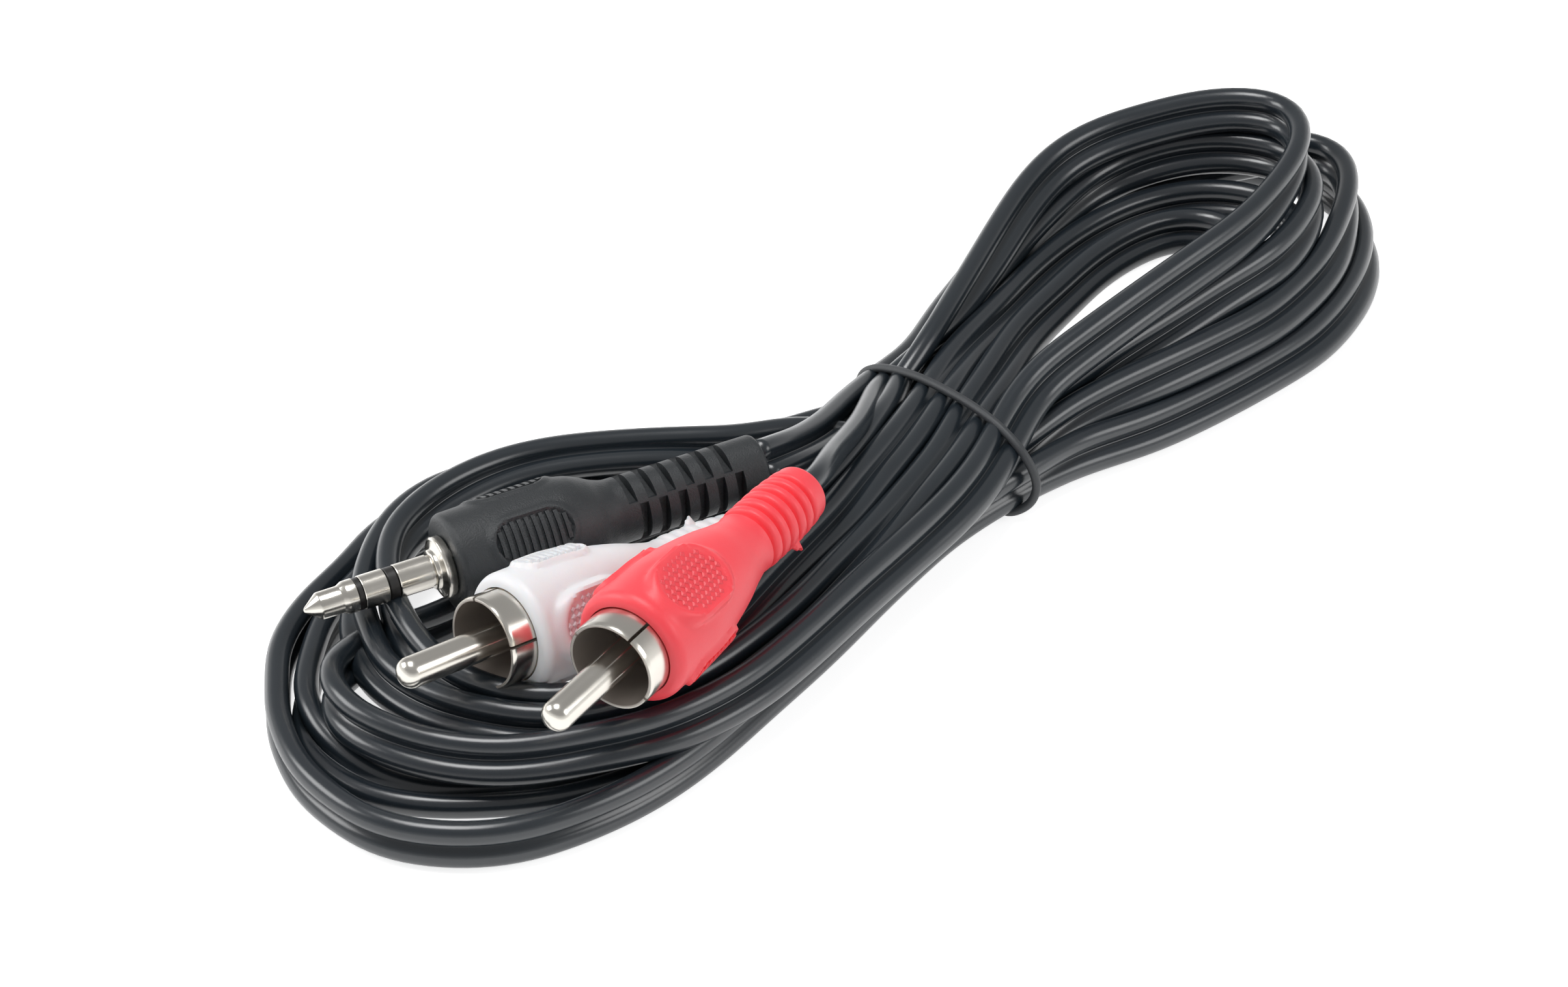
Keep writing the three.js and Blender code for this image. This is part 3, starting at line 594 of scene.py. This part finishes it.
def softStep(low, high, value):
    t = min(max((value - low) / (high - low), 0.0), 1.0)
    return t * t * (3 - 2 * t)


def stationsOf(start, end, step, extra=()):
    count = max(1, round((end - start) / step))
    return sorted({round(start + (end - start) * i / count, 4) for i in range(count + 1)} | set(extra))


sharpFrom = math.radians(38)


def turnedPiece(name, plug, rings, sides, material, nodes):
    # Rings of station and radius, or of station and a radius for each angle; closed end to end
    lay = layOf(plug)
    corners = []
    for at, radius in rings:
        for k in range(sides):
            angle = 2 * math.pi * k / sides
            r = radius(angle) if callable(radius) else radius
            corners.append(lay @ Vector((at * mm, -r * mm * math.sin(angle), r * mm * math.cos(angle))))
    piece = makePiece(name, corners, ringFaces(len(rings), sides, True), material)
    piece.data.set_sharp_from_angle(angle=sharpFrom)
    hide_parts(*nodes)
    return piece


# Stereo plug's contacts, in mm from the tip

jack = {"sides": 64, "gripStart": 15.5, "end": 50.4}
jackTip = turnedPiece("jack_tip", "jack", [
    (0.0, 0.02), (0.04, 0.16), (0.14, 0.3), (1.5, 1.33), (1.6, 1.39), (1.72, 1.41), (3.85, 1.41),
    (3.93, 1.46), (4.35, 1.66), (4.45, 1.7), (5.4, 1.72), (5.48, 1.64), (5.48, 0.4), (18.3, 0.4),
    (18.3, 0.02),
], jack["sides"], nickel, ["jack_tip_contact"])
jackRing = turnedPiece("jack_ring", "jack", [
    (6.1, 0.75), (6.1, 1.68), (6.17, 1.75), (8.63, 1.75), (8.7, 1.68), (8.7, 0.95), (17.9, 0.95),
    (17.9, 0.75),
], jack["sides"], nickel, ["jack_ring_contact"])
jackSleeve = turnedPiece("jack_sleeve", "jack", [
    (9.9, 1.3), (9.9, 1.68), (9.97, 1.75), (13.35, 1.75), (13.42, 1.6), (13.66, 1.6), (13.72, 1.98),
    (13.8, 2.06), (14.12, 2.1), (14.2, 2.2), (14.42, 2.86), (14.36, 2.96), (14.4, 3.1), (14.52, 3.2),
    (15.2, 3.2), (15.34, 3.12), (15.4, 2.95), (15.4, 2.4), (17.0, 2.4), (17.0, 1.3),
], jack["sides"], nickel, ["jack_sleeve_contact"])
jackFrontRing = turnedPiece("jack_front_insulator", "jack", [
    (5.5, 0.5), (5.5, 1.62), (5.56, 1.68), (5.98, 1.68), (6.04, 1.62), (6.04, 0.65), (18.0, 0.65),
    (18.0, 0.5),
], jack["sides"], insulatorPlastic, ["jack_tip_insulator"])
jackRearRing = turnedPiece("jack_rear_insulator", "jack", [
    (8.8, 1.05), (8.8, 1.62), (8.88, 1.7), (9.72, 1.7), (9.8, 1.62), (9.8, 1.2), (17.1, 1.2), (17.1, 1.05),
], jack["sides"], insulatorPlastic, ["jack_ring_insulator"])


# Stereo plug's grip, with four pads and four rows of slots in its relief

grip = {
    "sides": 160, "padCentre": 23.6, "padLength": 8.5, "padWidth": 4.7, "padSink": 0.34, "padRise": 0.22,
    "slotFirst": 35.12, "slotPitch": 2.15, "slotWidth": 0.95, "slotFloor": 2.3, "slotHalf": 2.1,
    "slots": 6, "edge": 0.7, "edgeDrop": 0.65, "endEdge": 0.5, "endDrop": 0.45,
}
gripOutline = [
    (15.5, 5.25), (20, 5.38), (24, 5.44), (27.4, 5.42), (29.4, 5.15), (31, 4.55), (32.4, 3.85), (33.8, 3.48),
    (36, 3.45), (50.4, 3.4),
]


def roundedBy(share):
    # How far a quarter round has fallen in, from 0 at its start to 1 at its end
    return 1 - math.sqrt(max(1 - share ** 2, 0))


def stadiumReach(along, across, length, width):
    # Distance outside a stadium's edge, negative inside it
    straight = max((length - width) / 2, 0)
    return math.hypot(max(abs(along) - straight, 0), across) - width / 2


def gripRadius(at, angle):
    radius = easedAt(gripOutline, at)
    front = at - jack["gripStart"]
    if front < grip["edge"]:
        radius -= grip["edgeDrop"] * roundedBy(1 - max(front, 0.0) / grip["edge"])
    quarter = math.pi / 2
    toPad = (angle - quarter / 2) % quarter
    toPad = min(toPad, quarter - toPad)
    reach = stadiumReach(at - grip["padCentre"], toPad * radius, grip["padLength"], grip["padWidth"])
    radius += grip["padRise"] * (1 - softStep(0.1, 0.9, reach))
    radius -= grip["padSink"] * (1 - softStep(-0.3, -0.05, reach))
    row = int(((angle + quarter / 2) % (4 * quarter)) // quarter)
    toRow = (angle + quarter / 2) % quarter - quarter / 2
    start = grip["slotFirst"] + (row % 2) * grip["slotPitch"] / 2
    step = (at - start + grip["slotPitch"] / 2) / grip["slotPitch"]
    if 0 <= step < grip["slots"]:
        toSlot = abs((step % 1) - 0.5) * grip["slotPitch"]
        floor = grip["slotFloor"] / math.cos(toRow)
        inside = toSlot < grip["slotWidth"] / 2 and abs(floor * math.sin(toRow)) < grip["slotHalf"]
        if inside and floor < radius:
            radius = floor
    if at > jack["end"] - grip["endEdge"]:
        radius -= grip["endDrop"] * roundedBy((at - jack["end"] + grip["endEdge"]) / grip["endEdge"])
    return radius


slotEdges = []
for row in (0, 1):
    for i in range(grip["slots"]):
        middle = grip["slotFirst"] + row * grip["slotPitch"] / 2 + i * grip["slotPitch"]
        for side in (-1, 1):
            edge = middle + side * grip["slotWidth"] / 2
            slotEdges += [round(edge - 0.02, 4), round(edge + 0.02, 4)]
gripStations = stationsOf(15.5, 17, 0.1) + stationsOf(17.2, 33.6, 0.2)
gripStations += stationsOf(33.7, 50.4, 0.16, slotEdges)
gripRings = [(at, lambda angle, at=at: gripRadius(at, angle)) for at in gripStations]
gripRings += [(50.4, 1.9), (29.1, 1.9), (29.1, 4.35), (17.0, 4.35), (17.0, 2.5), (15.5, 2.5)]
jackGrip = turnedPiece(
    "jack_grip_moulding", "jack", gripRings, grip["sides"], gripPvc, ["jack_grip"],
)
print("stereo plug made")


# Ribs and studs on the pads: a flat field of bodies bent round the plug's surface

field = {"studTop": 0.22, "studEdge": 0.25, "ribEnds": 0.35, "ribSteps": 12}


def fieldTree(name, pyramid):
    tree = bpy.data.node_groups.new(name, "GeometryNodeTree")
    tree.interface.new_socket("Geometry", in_out="OUTPUT", socket_type="NodeSocketGeometry")
    sockets = {}
    for label, kind, start in (
        ("Columns", "NodeSocketInt", 11), ("Rows", "NodeSocketInt", 1), ("Pitch", "NodeSocketFloat", 0.8),
        ("Row Pitch", "NodeSocketFloat", 0.8), ("Pad Length", "NodeSocketFloat", 8.0),
        ("Pad Width", "NodeSocketFloat", 4.0), ("Body Length", "NodeSocketFloat", 0.4),
        ("Body Height", "NodeSocketFloat", 0.3), ("Base Radius", "NodeSocketFloat", 5.0),
        ("Taper", "NodeSocketFloat", 0.0), ("Sink", "NodeSocketFloat", 0.0),
        ("Material", "NodeSocketMaterial", None),
    ):
        socket = tree.interface.new_socket(label, in_out="INPUT", socket_type=kind)
        if start is not None:
            socket.default_value = start
        sockets[label] = socket.identifier
    given = addNode(tree, "NodeGroupInput").outputs

    def sums(operation, a, b=0.0, c=0.0):
        return addNode(tree, "ShaderNodeMath", {0: a, 1: b, 2: c}, operation=operation).outputs[0]

    def span(count, pitch):
        return sums("MULTIPLY", sums("SUBTRACT", count, 1.0), pitch)

    grid = addNode(tree, "GeometryNodeMeshGrid", {
        "Size X": span(given["Columns"], given["Pitch"]), "Size Y": span(given["Rows"], given["Row Pitch"]),
        "Vertices X": given["Columns"], "Vertices Y": given["Rows"],
    })
    place = addNode(tree, "GeometryNodeInputPosition").outputs[0]
    parts = addNode(tree, "ShaderNodeSeparateXYZ", {0: place}).outputs
    halfWidth = sums("MULTIPLY", given["Pad Width"], 0.5)
    straight = sums("SUBTRACT", sums("MULTIPLY", given["Pad Length"], 0.5), halfWidth)
    past = sums("MAXIMUM", sums("SUBTRACT", sums("ABSOLUTE", parts[0]), straight), 0.0)
    chord = sums("SQRT", sums("MAXIMUM", sums(
        "SUBTRACT", sums("MULTIPLY", halfWidth, halfWidth), sums("MULTIPLY", past, past),
    ), 0.0))
    if pyramid:
        # Studs stand on a square grid turned by half a right angle and stop at the pad's edge
        body = addNode(tree, "GeometryNodeMeshCone", {
            "Vertices": 4, "Radius Top": sums("MULTIPLY", given["Body Length"], field["studTop"]),
            "Radius Bottom": sums("MULTIPLY", given["Body Length"], 0.5), "Depth": given["Body Height"],
        })
        shape = body.outputs["Mesh"]
        scale = addNode(tree, "ShaderNodeCombineXYZ", {0: 1.0, 1: 1.0, 2: 1.0}).outputs[0]
        outside = addNode(tree, "FunctionNodeCompare", {
            0: sums("ABSOLUTE", parts[1]), 1: sums("SUBTRACT", chord, field["studEdge"]),
        }, data_type="FLOAT", operation="GREATER_THAN").outputs[0]
        points = addNode(tree, "GeometryNodeDeleteGeometry", {
            "Geometry": grid.outputs["Mesh"], "Selection": outside,
        }, domain="POINT").outputs[0]
    else:
        size = addNode(tree, "ShaderNodeCombineXYZ", {
            0: given["Body Length"], 1: 1.0, 2: given["Body Height"],
        })
        body = addNode(tree, "GeometryNodeMeshCube", {
            "Size": size.outputs[0], "Vertices X": 2, "Vertices Y": field["ribSteps"], "Vertices Z": 2,
        })
        shape = body.outputs["Mesh"]
        scale = addNode(tree, "ShaderNodeCombineXYZ", {
            0: 1.0, 1: sums("SUBTRACT", sums("MULTIPLY", chord, 2.0), field["ribEnds"]), 2: 1.0,
        }).outputs[0]
        points = grid.outputs["Mesh"]
    spread = addNode(tree, "GeometryNodeInstanceOnPoints", {
        "Points": points, "Instance": shape, "Scale": scale,
    }).outputs[0]
    solid = addNode(tree, "GeometryNodeRealizeInstances", {"Geometry": spread}).outputs[0]
    radius = sums("ADD", given["Base Radius"], sums("MULTIPLY", parts[0], given["Taper"]))
    turn = sums("DIVIDE", parts[1], radius)
    out = sums("ADD", radius, parts[2])
    height = sums("SUBTRACT", sums("MULTIPLY", out, sums("COSINE", turn)), given["Sink"])
    bent = addNode(tree, "ShaderNodeCombineXYZ", {
        0: parts[0], 1: sums("MULTIPLY", out, sums("SINE", turn)), 2: height,
    }).outputs[0]
    moved = addNode(tree, "GeometryNodeSetPosition", {"Geometry": solid, "Position": bent}).outputs[0]
    clad = addNode(tree, "GeometryNodeSetMaterial", {
        "Geometry": moved, "Material": given["Material"],
    }).outputs[0]
    addNode(tree, "NodeGroupOutput", {0: clad})
    return tree, sockets


def fieldMesh(tree, sockets, values, material):
    holder = bpy.data.objects.new("field", bpy.data.meshes.new("field"))
    bpy.context.scene.collection.objects.link(holder)
    modifier = holder.modifiers.new("field", "NODES")
    modifier.node_group = tree
    for label, value in values.items():
        modifier[sockets[label]] = value
    modifier[sockets["Material"]] = material
    holder.update_tag()
    depsgraph = bpy.context.evaluated_depsgraph_get()
    mesh = bpy.data.meshes.new_from_object(holder.evaluated_get(depsgraph))
    holder.modifiers.clear()
    bpy.data.objects.remove(holder)
    return mesh


def padFields(name, plug, tree, sockets, values, station, angles, material, node):
    # The same field on each pad round the plug, as one piece
    mesh = fieldMesh(tree, sockets, values, material)
    lay = layOf(plug)
    corners = []
    faces = []
    for angle in angles:
        put = lay @ Matrix.Rotation(math.radians(angle), 4, "X")
        start = len(corners)
        for v in mesh.vertices:
            corners.append(put @ Vector(((v.co.x + station) * mm, v.co.y * mm, v.co.z * mm)))
        faces += [tuple(start + i for i in p.vertices) for p in mesh.polygons]
    piece = makePiece(name, corners, faces, material, smooth=False)
    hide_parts(node)
    return piece


ribTree, ribSockets = fieldTree("pad ribs", False)
studTree, studSockets = fieldTree("pad studs", True)
jackRibs = padFields("jack_grip_ribs", "jack", ribTree, ribSockets, {
    "Columns": 10, "Rows": 1, "Pitch": 0.78, "Pad Length": 8.1, "Pad Width": 4.3, "Body Length": 0.42,
    "Body Height": 0.6, "Base Radius": 5.3, "Taper": 0.01,
}, grip["padCentre"], (45, 135, 225, 315), gripPvc, "jack_grip")


# Phono plugs, in mm from the skirt's rim

phono = {
    "boot": 3.0, "reliefStart": 23.8, "end": 34.4, "rings": 6, "pitch": 1.5, "ridge": 0.1, "groove": 0.62,
    "edge": 1.2, "endEdge": 0.5, "bootSides": 128, "sides": 64,
}
bootOutline = [
    (3, 6.1), (5.5, 6.1), (9, 6.08), (12.6, 5.74), (15.5, 5.22), (18.4, 4.55), (21, 3.78), (23.2, 3.36),
    (23.8, 3.42), (28.6, 3.44), (34.4, 3.02),
]
bootPad = {
    "centre": 9.9, "length": 8.3, "width": 6.3, "flat": 6.32, "fall": 0.03, "mound": 1.7, "sink": 0.2,
    "widest": 1.2, "barWidth": 3.8, "barRise": 0.42, "barSink": 0.3,
}
nub = {"at": 28.7, "height": 1.2, "core": 0.2, "reach": 0.6, "red": 97, "white": -108}


def bootRadius(at, angle, nubAngle):
    radius = easedAt(bootOutline, at)
    front = at - phono["boot"]
    if front < phono["edge"]:
        radius -= phono["edge"] * roundedBy(1 - max(front, 0) / phono["edge"])
    # Two flat round pads on low mounds, and a narrow bar pad on each side between them
    toPad = (angle + math.pi / 2) % math.pi - math.pi / 2
    along = at - bootPad["centre"]
    turn = max(min(toPad, bootPad["widest"]), -bootPad["widest"])
    across = radius * math.tan(turn)
    reach = stadiumReach(along, across, bootPad["length"], bootPad["width"])
    flat = (bootPad["flat"] - bootPad["fall"] * along) / math.cos(turn)
    if flat > radius:
        radius += (flat - radius) * (1 - softStep(0.0, bootPad["mound"], reach))
    radius -= bootPad["sink"] * (1 - softStep(-0.26, -0.02, reach))
    toBar = (angle + math.pi) % math.pi - math.pi / 2
    reach = stadiumReach(along, radius * toBar, bootPad["length"], bootPad["barWidth"])
    radius += bootPad["barRise"] * (1 - softStep(0.0, 0.3, reach))
    radius -= bootPad["barSink"] * (1 - softStep(-0.5, -0.25, reach))
    if at > phono["reliefStart"] - 0.3:
        step = (at - phono["reliefStart"]) / phono["pitch"]
        if 0 <= step < phono["rings"]:
            groove = abs((step % 1) - 0.22) * phono["pitch"]
            radius += phono["ridge"] * softStep(0.3, 0.75, groove)
            radius -= phono["groove"] * (1 - softStep(0.06, 0.46, groove))
    # A small flash nub left by the mould's gate
    turn = (angle - math.radians(nubAngle) + math.pi) % (2 * math.pi) - math.pi
    away = math.hypot(at - nub["at"], turn * radius)
    radius += nub["height"] * (1 - softStep(nub["core"], nub["reach"], away))
    if at > phono["end"] - phono["endEdge"]:
        radius -= phono["endEdge"] * roundedBy((at - phono["end"] + phono["endEdge"]) / phono["endEdge"])
    return radius


def skirtCorner(lay, at, radius, angle):
    return lay @ Vector((at * mm, -radius * mm * math.sin(angle), radius * mm * math.cos(angle)))


def phonoSkirt(name, plug, node):
    # A thin rolled skirt with four slits; its front edge is bent in a little
    skirt = {
        "outer": 4.75, "wall": 0.4, "slit": 0.34, "slitEnd": 6.0, "leaf": 22, "lip": 0.1, "lipLength": 0.25,
    }
    stations = stationsOf(0, 6, 0.5, (0.1, 0.3)) + stationsOf(6.4, 10.4, 0.8)
    lay = layOf(plug)
    half = skirt["slit"] / 2 / skirt["outer"]
    angles = []
    for leaf in range(4):
        start = leaf * math.pi / 2 + half
        span = math.pi / 2 - 2 * half
        angles += [start + span * i / skirt["leaf"] for i in range(skirt["leaf"] + 1)]
    columns = len(angles)
    corners = []
    for at in stations:
        lip = skirt["lip"] * (1 - softStep(0, skirt["lipLength"], at))
        for angle in angles:
            corners.append(skirtCorner(lay, at, skirt["outer"] - lip, angle))
    inner = len(corners)
    for at in stations:
        for angle in angles:
            corners.append(skirtCorner(lay, at, skirt["outer"] - skirt["wall"], angle))

    def slit(i, k):
        return k % (skirt["leaf"] + 1) == skirt["leaf"] and stations[i] < skirt["slitEnd"] - 0.01
    faces = []
    rows = len(stations) - 1
    for i in range(rows):
        for k in range(columns):
            n = (k + 1) % columns
            a, b = i * columns + k, i * columns + n
            c, d = a + columns, b + columns
            if not slit(i, k):
                faces.append((a, b, d, c))
                faces.append((inner + b, inner + a, inner + c, inner + d))
                if i == 0:
                    faces.append((b, a, inner + a, inner + b))
                if i == rows - 1:
                    faces.append((c, d, inner + d, inner + c))
                if i > 0 and slit(i - 1, k):
                    faces.append((b, a, inner + a, inner + b))
            else:
                faces.append((a, c, inner + c, inner + a))
                faces.append((d, b, inner + b, inner + d))
    piece = makePiece(name, corners, faces, nickel)
    # The inner wall is marked, for the plate's painted light there
    within = piece.data.attributes.new("inside", "FLOAT", "POINT")
    within.data.foreach_set("value", [0.0 if i < inner else 1.0 for i in range(len(corners))])
    piece.data.set_sharp_from_angle(angle=sharpFrom)
    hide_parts(node)
    return piece


def phonoPlug(plug, material):
    pieces = [turnedPiece(plug + "_pin", plug, [
        (-10.2, 0.02), (-10.17, 0.45), (-10.05, 0.86), (-9.85, 1.18), (-9.55, 1.42), (-9.2, 1.56),
        (-8.9, 1.6), (10.3, 1.6), (10.3, 0.02),
    ], phono["sides"], nickel, [plug + "_plug_pin"])]
    pieces.append(phonoSkirt(plug + "_skirt", plug, plug + "_plug_skirt"))
    pieces.append(turnedPiece(plug + "_insulator", plug, [
        (6.4, 1.7), (6.4, 4.1), (6.5, 4.25), (9.6, 4.25), (9.6, 1.7),
    ], phono["sides"], phenolic, [plug + "_plug_insulator"]))
    stations = stationsOf(3, 4.2, 0.1) + stationsOf(4.4, 23.4, 0.19) + stationsOf(23.5, 34.4, 0.1)
    rings = [(at, lambda angle, at=at: bootRadius(at, angle, nub[plug])) for at in stations]
    rings += [(34.4, 1.4), (18.3, 1.4), (18.3, 2.8), (13.4, 4.2), (10.7, 4.35), (10.7, 4.85), (3, 4.85)]
    pieces.append(turnedPiece(
        plug + "_boot", plug, rings, phono["bootSides"], material, [plug + "_plug_boot"],
    ))
    pieces.append(padFields(plug + "_bar_ribs", plug, ribTree, ribSockets, {
        "Columns": 9, "Rows": 1, "Pitch": 0.76, "Pad Length": 7.2, "Pad Width": 2.8, "Body Length": 0.42,
        "Body Height": 0.5, "Base Radius": 6.13, "Taper": -0.05,
    }, bootPad["centre"], (90, 270), material, plug + "_plug_boot"))
    pieces.append(padFields(plug + "_pad_studs", plug, studTree, studSockets, {
        "Columns": 11, "Rows": 8, "Pitch": 0.75, "Row Pitch": 0.75, "Pad Length": 8.1, "Pad Width": 6.2,
        "Body Length": 0.84, "Body Height": 0.12, "Base Radius": 60.0, "Taper": -0.03, "Sink": 53.84,
    }, bootPad["centre"], (0, 180), material, plug + "_plug_boot"))
    return pieces


redPieces = phonoPlug("red", redPvc)
whitePieces = phonoPlug("white", whitePvc)
print("phono plugs made")


# Inner parts kept from the CAD model get the real material in their slots

slotMaterials = {
    "plated_metal": nickel, "copper_wire": copper, "insulator": insulatorPlastic, "inner_mould": corePlastic,
}
for piece in bpy.data.objects:
    for slot in piece.material_slots:
        named = slot.name.split(".")[0]
        if named in slotMaterials:
            slot.material = slotMaterials[named]


# Floor, surroundings and lamps

sweep = {"half": 3.0, "below": 0.0002, "paper": 0.8, "glow": 0.75}


def paperWhite():
    # White sweep: seen and mirrored as plain white, it still takes the object's shadow
    material, tree = newMaterial("white sweep")
    rays = addNode(tree, "ShaderNodeLightPath").outputs
    seen = addNode(tree, "ShaderNodeMath", {
        0: rays["Is Camera Ray"], 1: rays["Is Glossy Ray"],
    }, operation="MAXIMUM").outputs[0]
    seen = addNode(tree, "ShaderNodeMath", {
        0: seen, 1: rays["Is Transmission Ray"],
    }, operation="MAXIMUM").outputs[0]
    paper = addNode(tree, "ShaderNodeBsdfDiffuse", {"Color": (sweep["paper"],) * 3 + (1,)}).outputs[0]
    glow = addNode(tree, "ShaderNodeEmission", {
        "Color": (1, 1, 1, 1), "Strength": sweep["glow"],
    }).outputs[0]
    both = addNode(tree, "ShaderNodeAddShader", {0: paper, 1: glow}).outputs[0]
    mixed = addNode(tree, "ShaderNodeMixShader", {0: seen, 1: paper, 2: both}).outputs[0]
    return finishMaterial(material, tree, mixed)


floor = makePiece("floor", [
    (x * sweep["half"], y * sweep["half"], -sweep["below"]) for x, y in ((-1, -1), (1, -1), (1, 1), (-1, 1))
], [(0, 1, 2, 3)], paperWhite(), body=None, smooth=False)


# Height where the room starts to dim, height where it is dimmest, and how bright it is there
studio = {"lighting": (0.08, 0.35, 0.28), "mirrored": (0.1, 0.45, 0.4)}


def surroundings():
    # White low down, as the sweep rises behind the object, and a dim room above it
    world = bpy.data.worlds.new("studio")
    bpy.context.scene.world = world
    world.use_nodes = True
    tree = world.node_tree
    tree.nodes.clear()
    rays = addNode(tree, "ShaderNodeLightPath").outputs
    toward = addNode(tree, "ShaderNodeTexCoord").outputs["Generated"]
    height = addNode(tree, "ShaderNodeSeparateXYZ", {0: toward}).outputs[2]
    room, mirrored = [
        addNode(tree, "ShaderNodeMapRange", {
            "Value": height, "From Min": low, "From Max": high, "To Min": 1.0, "To Max": dim,
        }).outputs[0]
        for low, high, dim in (studio["lighting"], studio["mirrored"])
    ]
    clear = addNode(tree, "ShaderNodeMath", {
        0: rays["Is Camera Ray"], 1: rays["Is Transmission Ray"],
    }, operation="MAXIMUM").outputs[0]
    room = addNode(tree, "ShaderNodeMix", {
        0: rays["Is Glossy Ray"], 2: room, 3: mirrored,
    }, data_type="FLOAT").outputs[0]
    strength = addNode(tree, "ShaderNodeMix", {0: clear, 2: room, 3: 1.0}, data_type="FLOAT").outputs[0]
    back = addNode(tree, "ShaderNodeBackground", {"Color": (1, 1, 1, 1), "Strength": strength}).outputs[0]
    addNode(tree, "ShaderNodeOutputWorld", {"Surface": back})


surroundings()
lamps = [
    {"name": "overhead softbox", "at": (-0.1, 0.1, 0.75), "size": (0.36, 0.28), "power": 3.0},
    {"name": "softbox behind on the left", "at": (-0.5, 0.62, 0.5), "size": (0.5, 0.35), "power": 3.2},
    {"name": "softbox in front on the right", "at": (0.35, -0.65, 0.45), "size": (0.45, 0.35), "power": 1.8},
]
for lamp in lamps:
    light = bpy.data.lights.new(lamp["name"], "AREA")
    light.shape = "RECTANGLE"
    light.size, light.size_y = lamp["size"]
    light.energy = lamp["power"]
    stand = bpy.data.objects.new(lamp["name"], light)
    stand.location = lamp["at"]
    stand.rotation_euler = (-Vector(lamp["at"])).to_track_quat("-Z", "Y").to_euler()
    bpy.context.scene.collection.objects.link(stand)

bpy.context.scene.view_settings.view_transform = "Standard"
print("scene made")
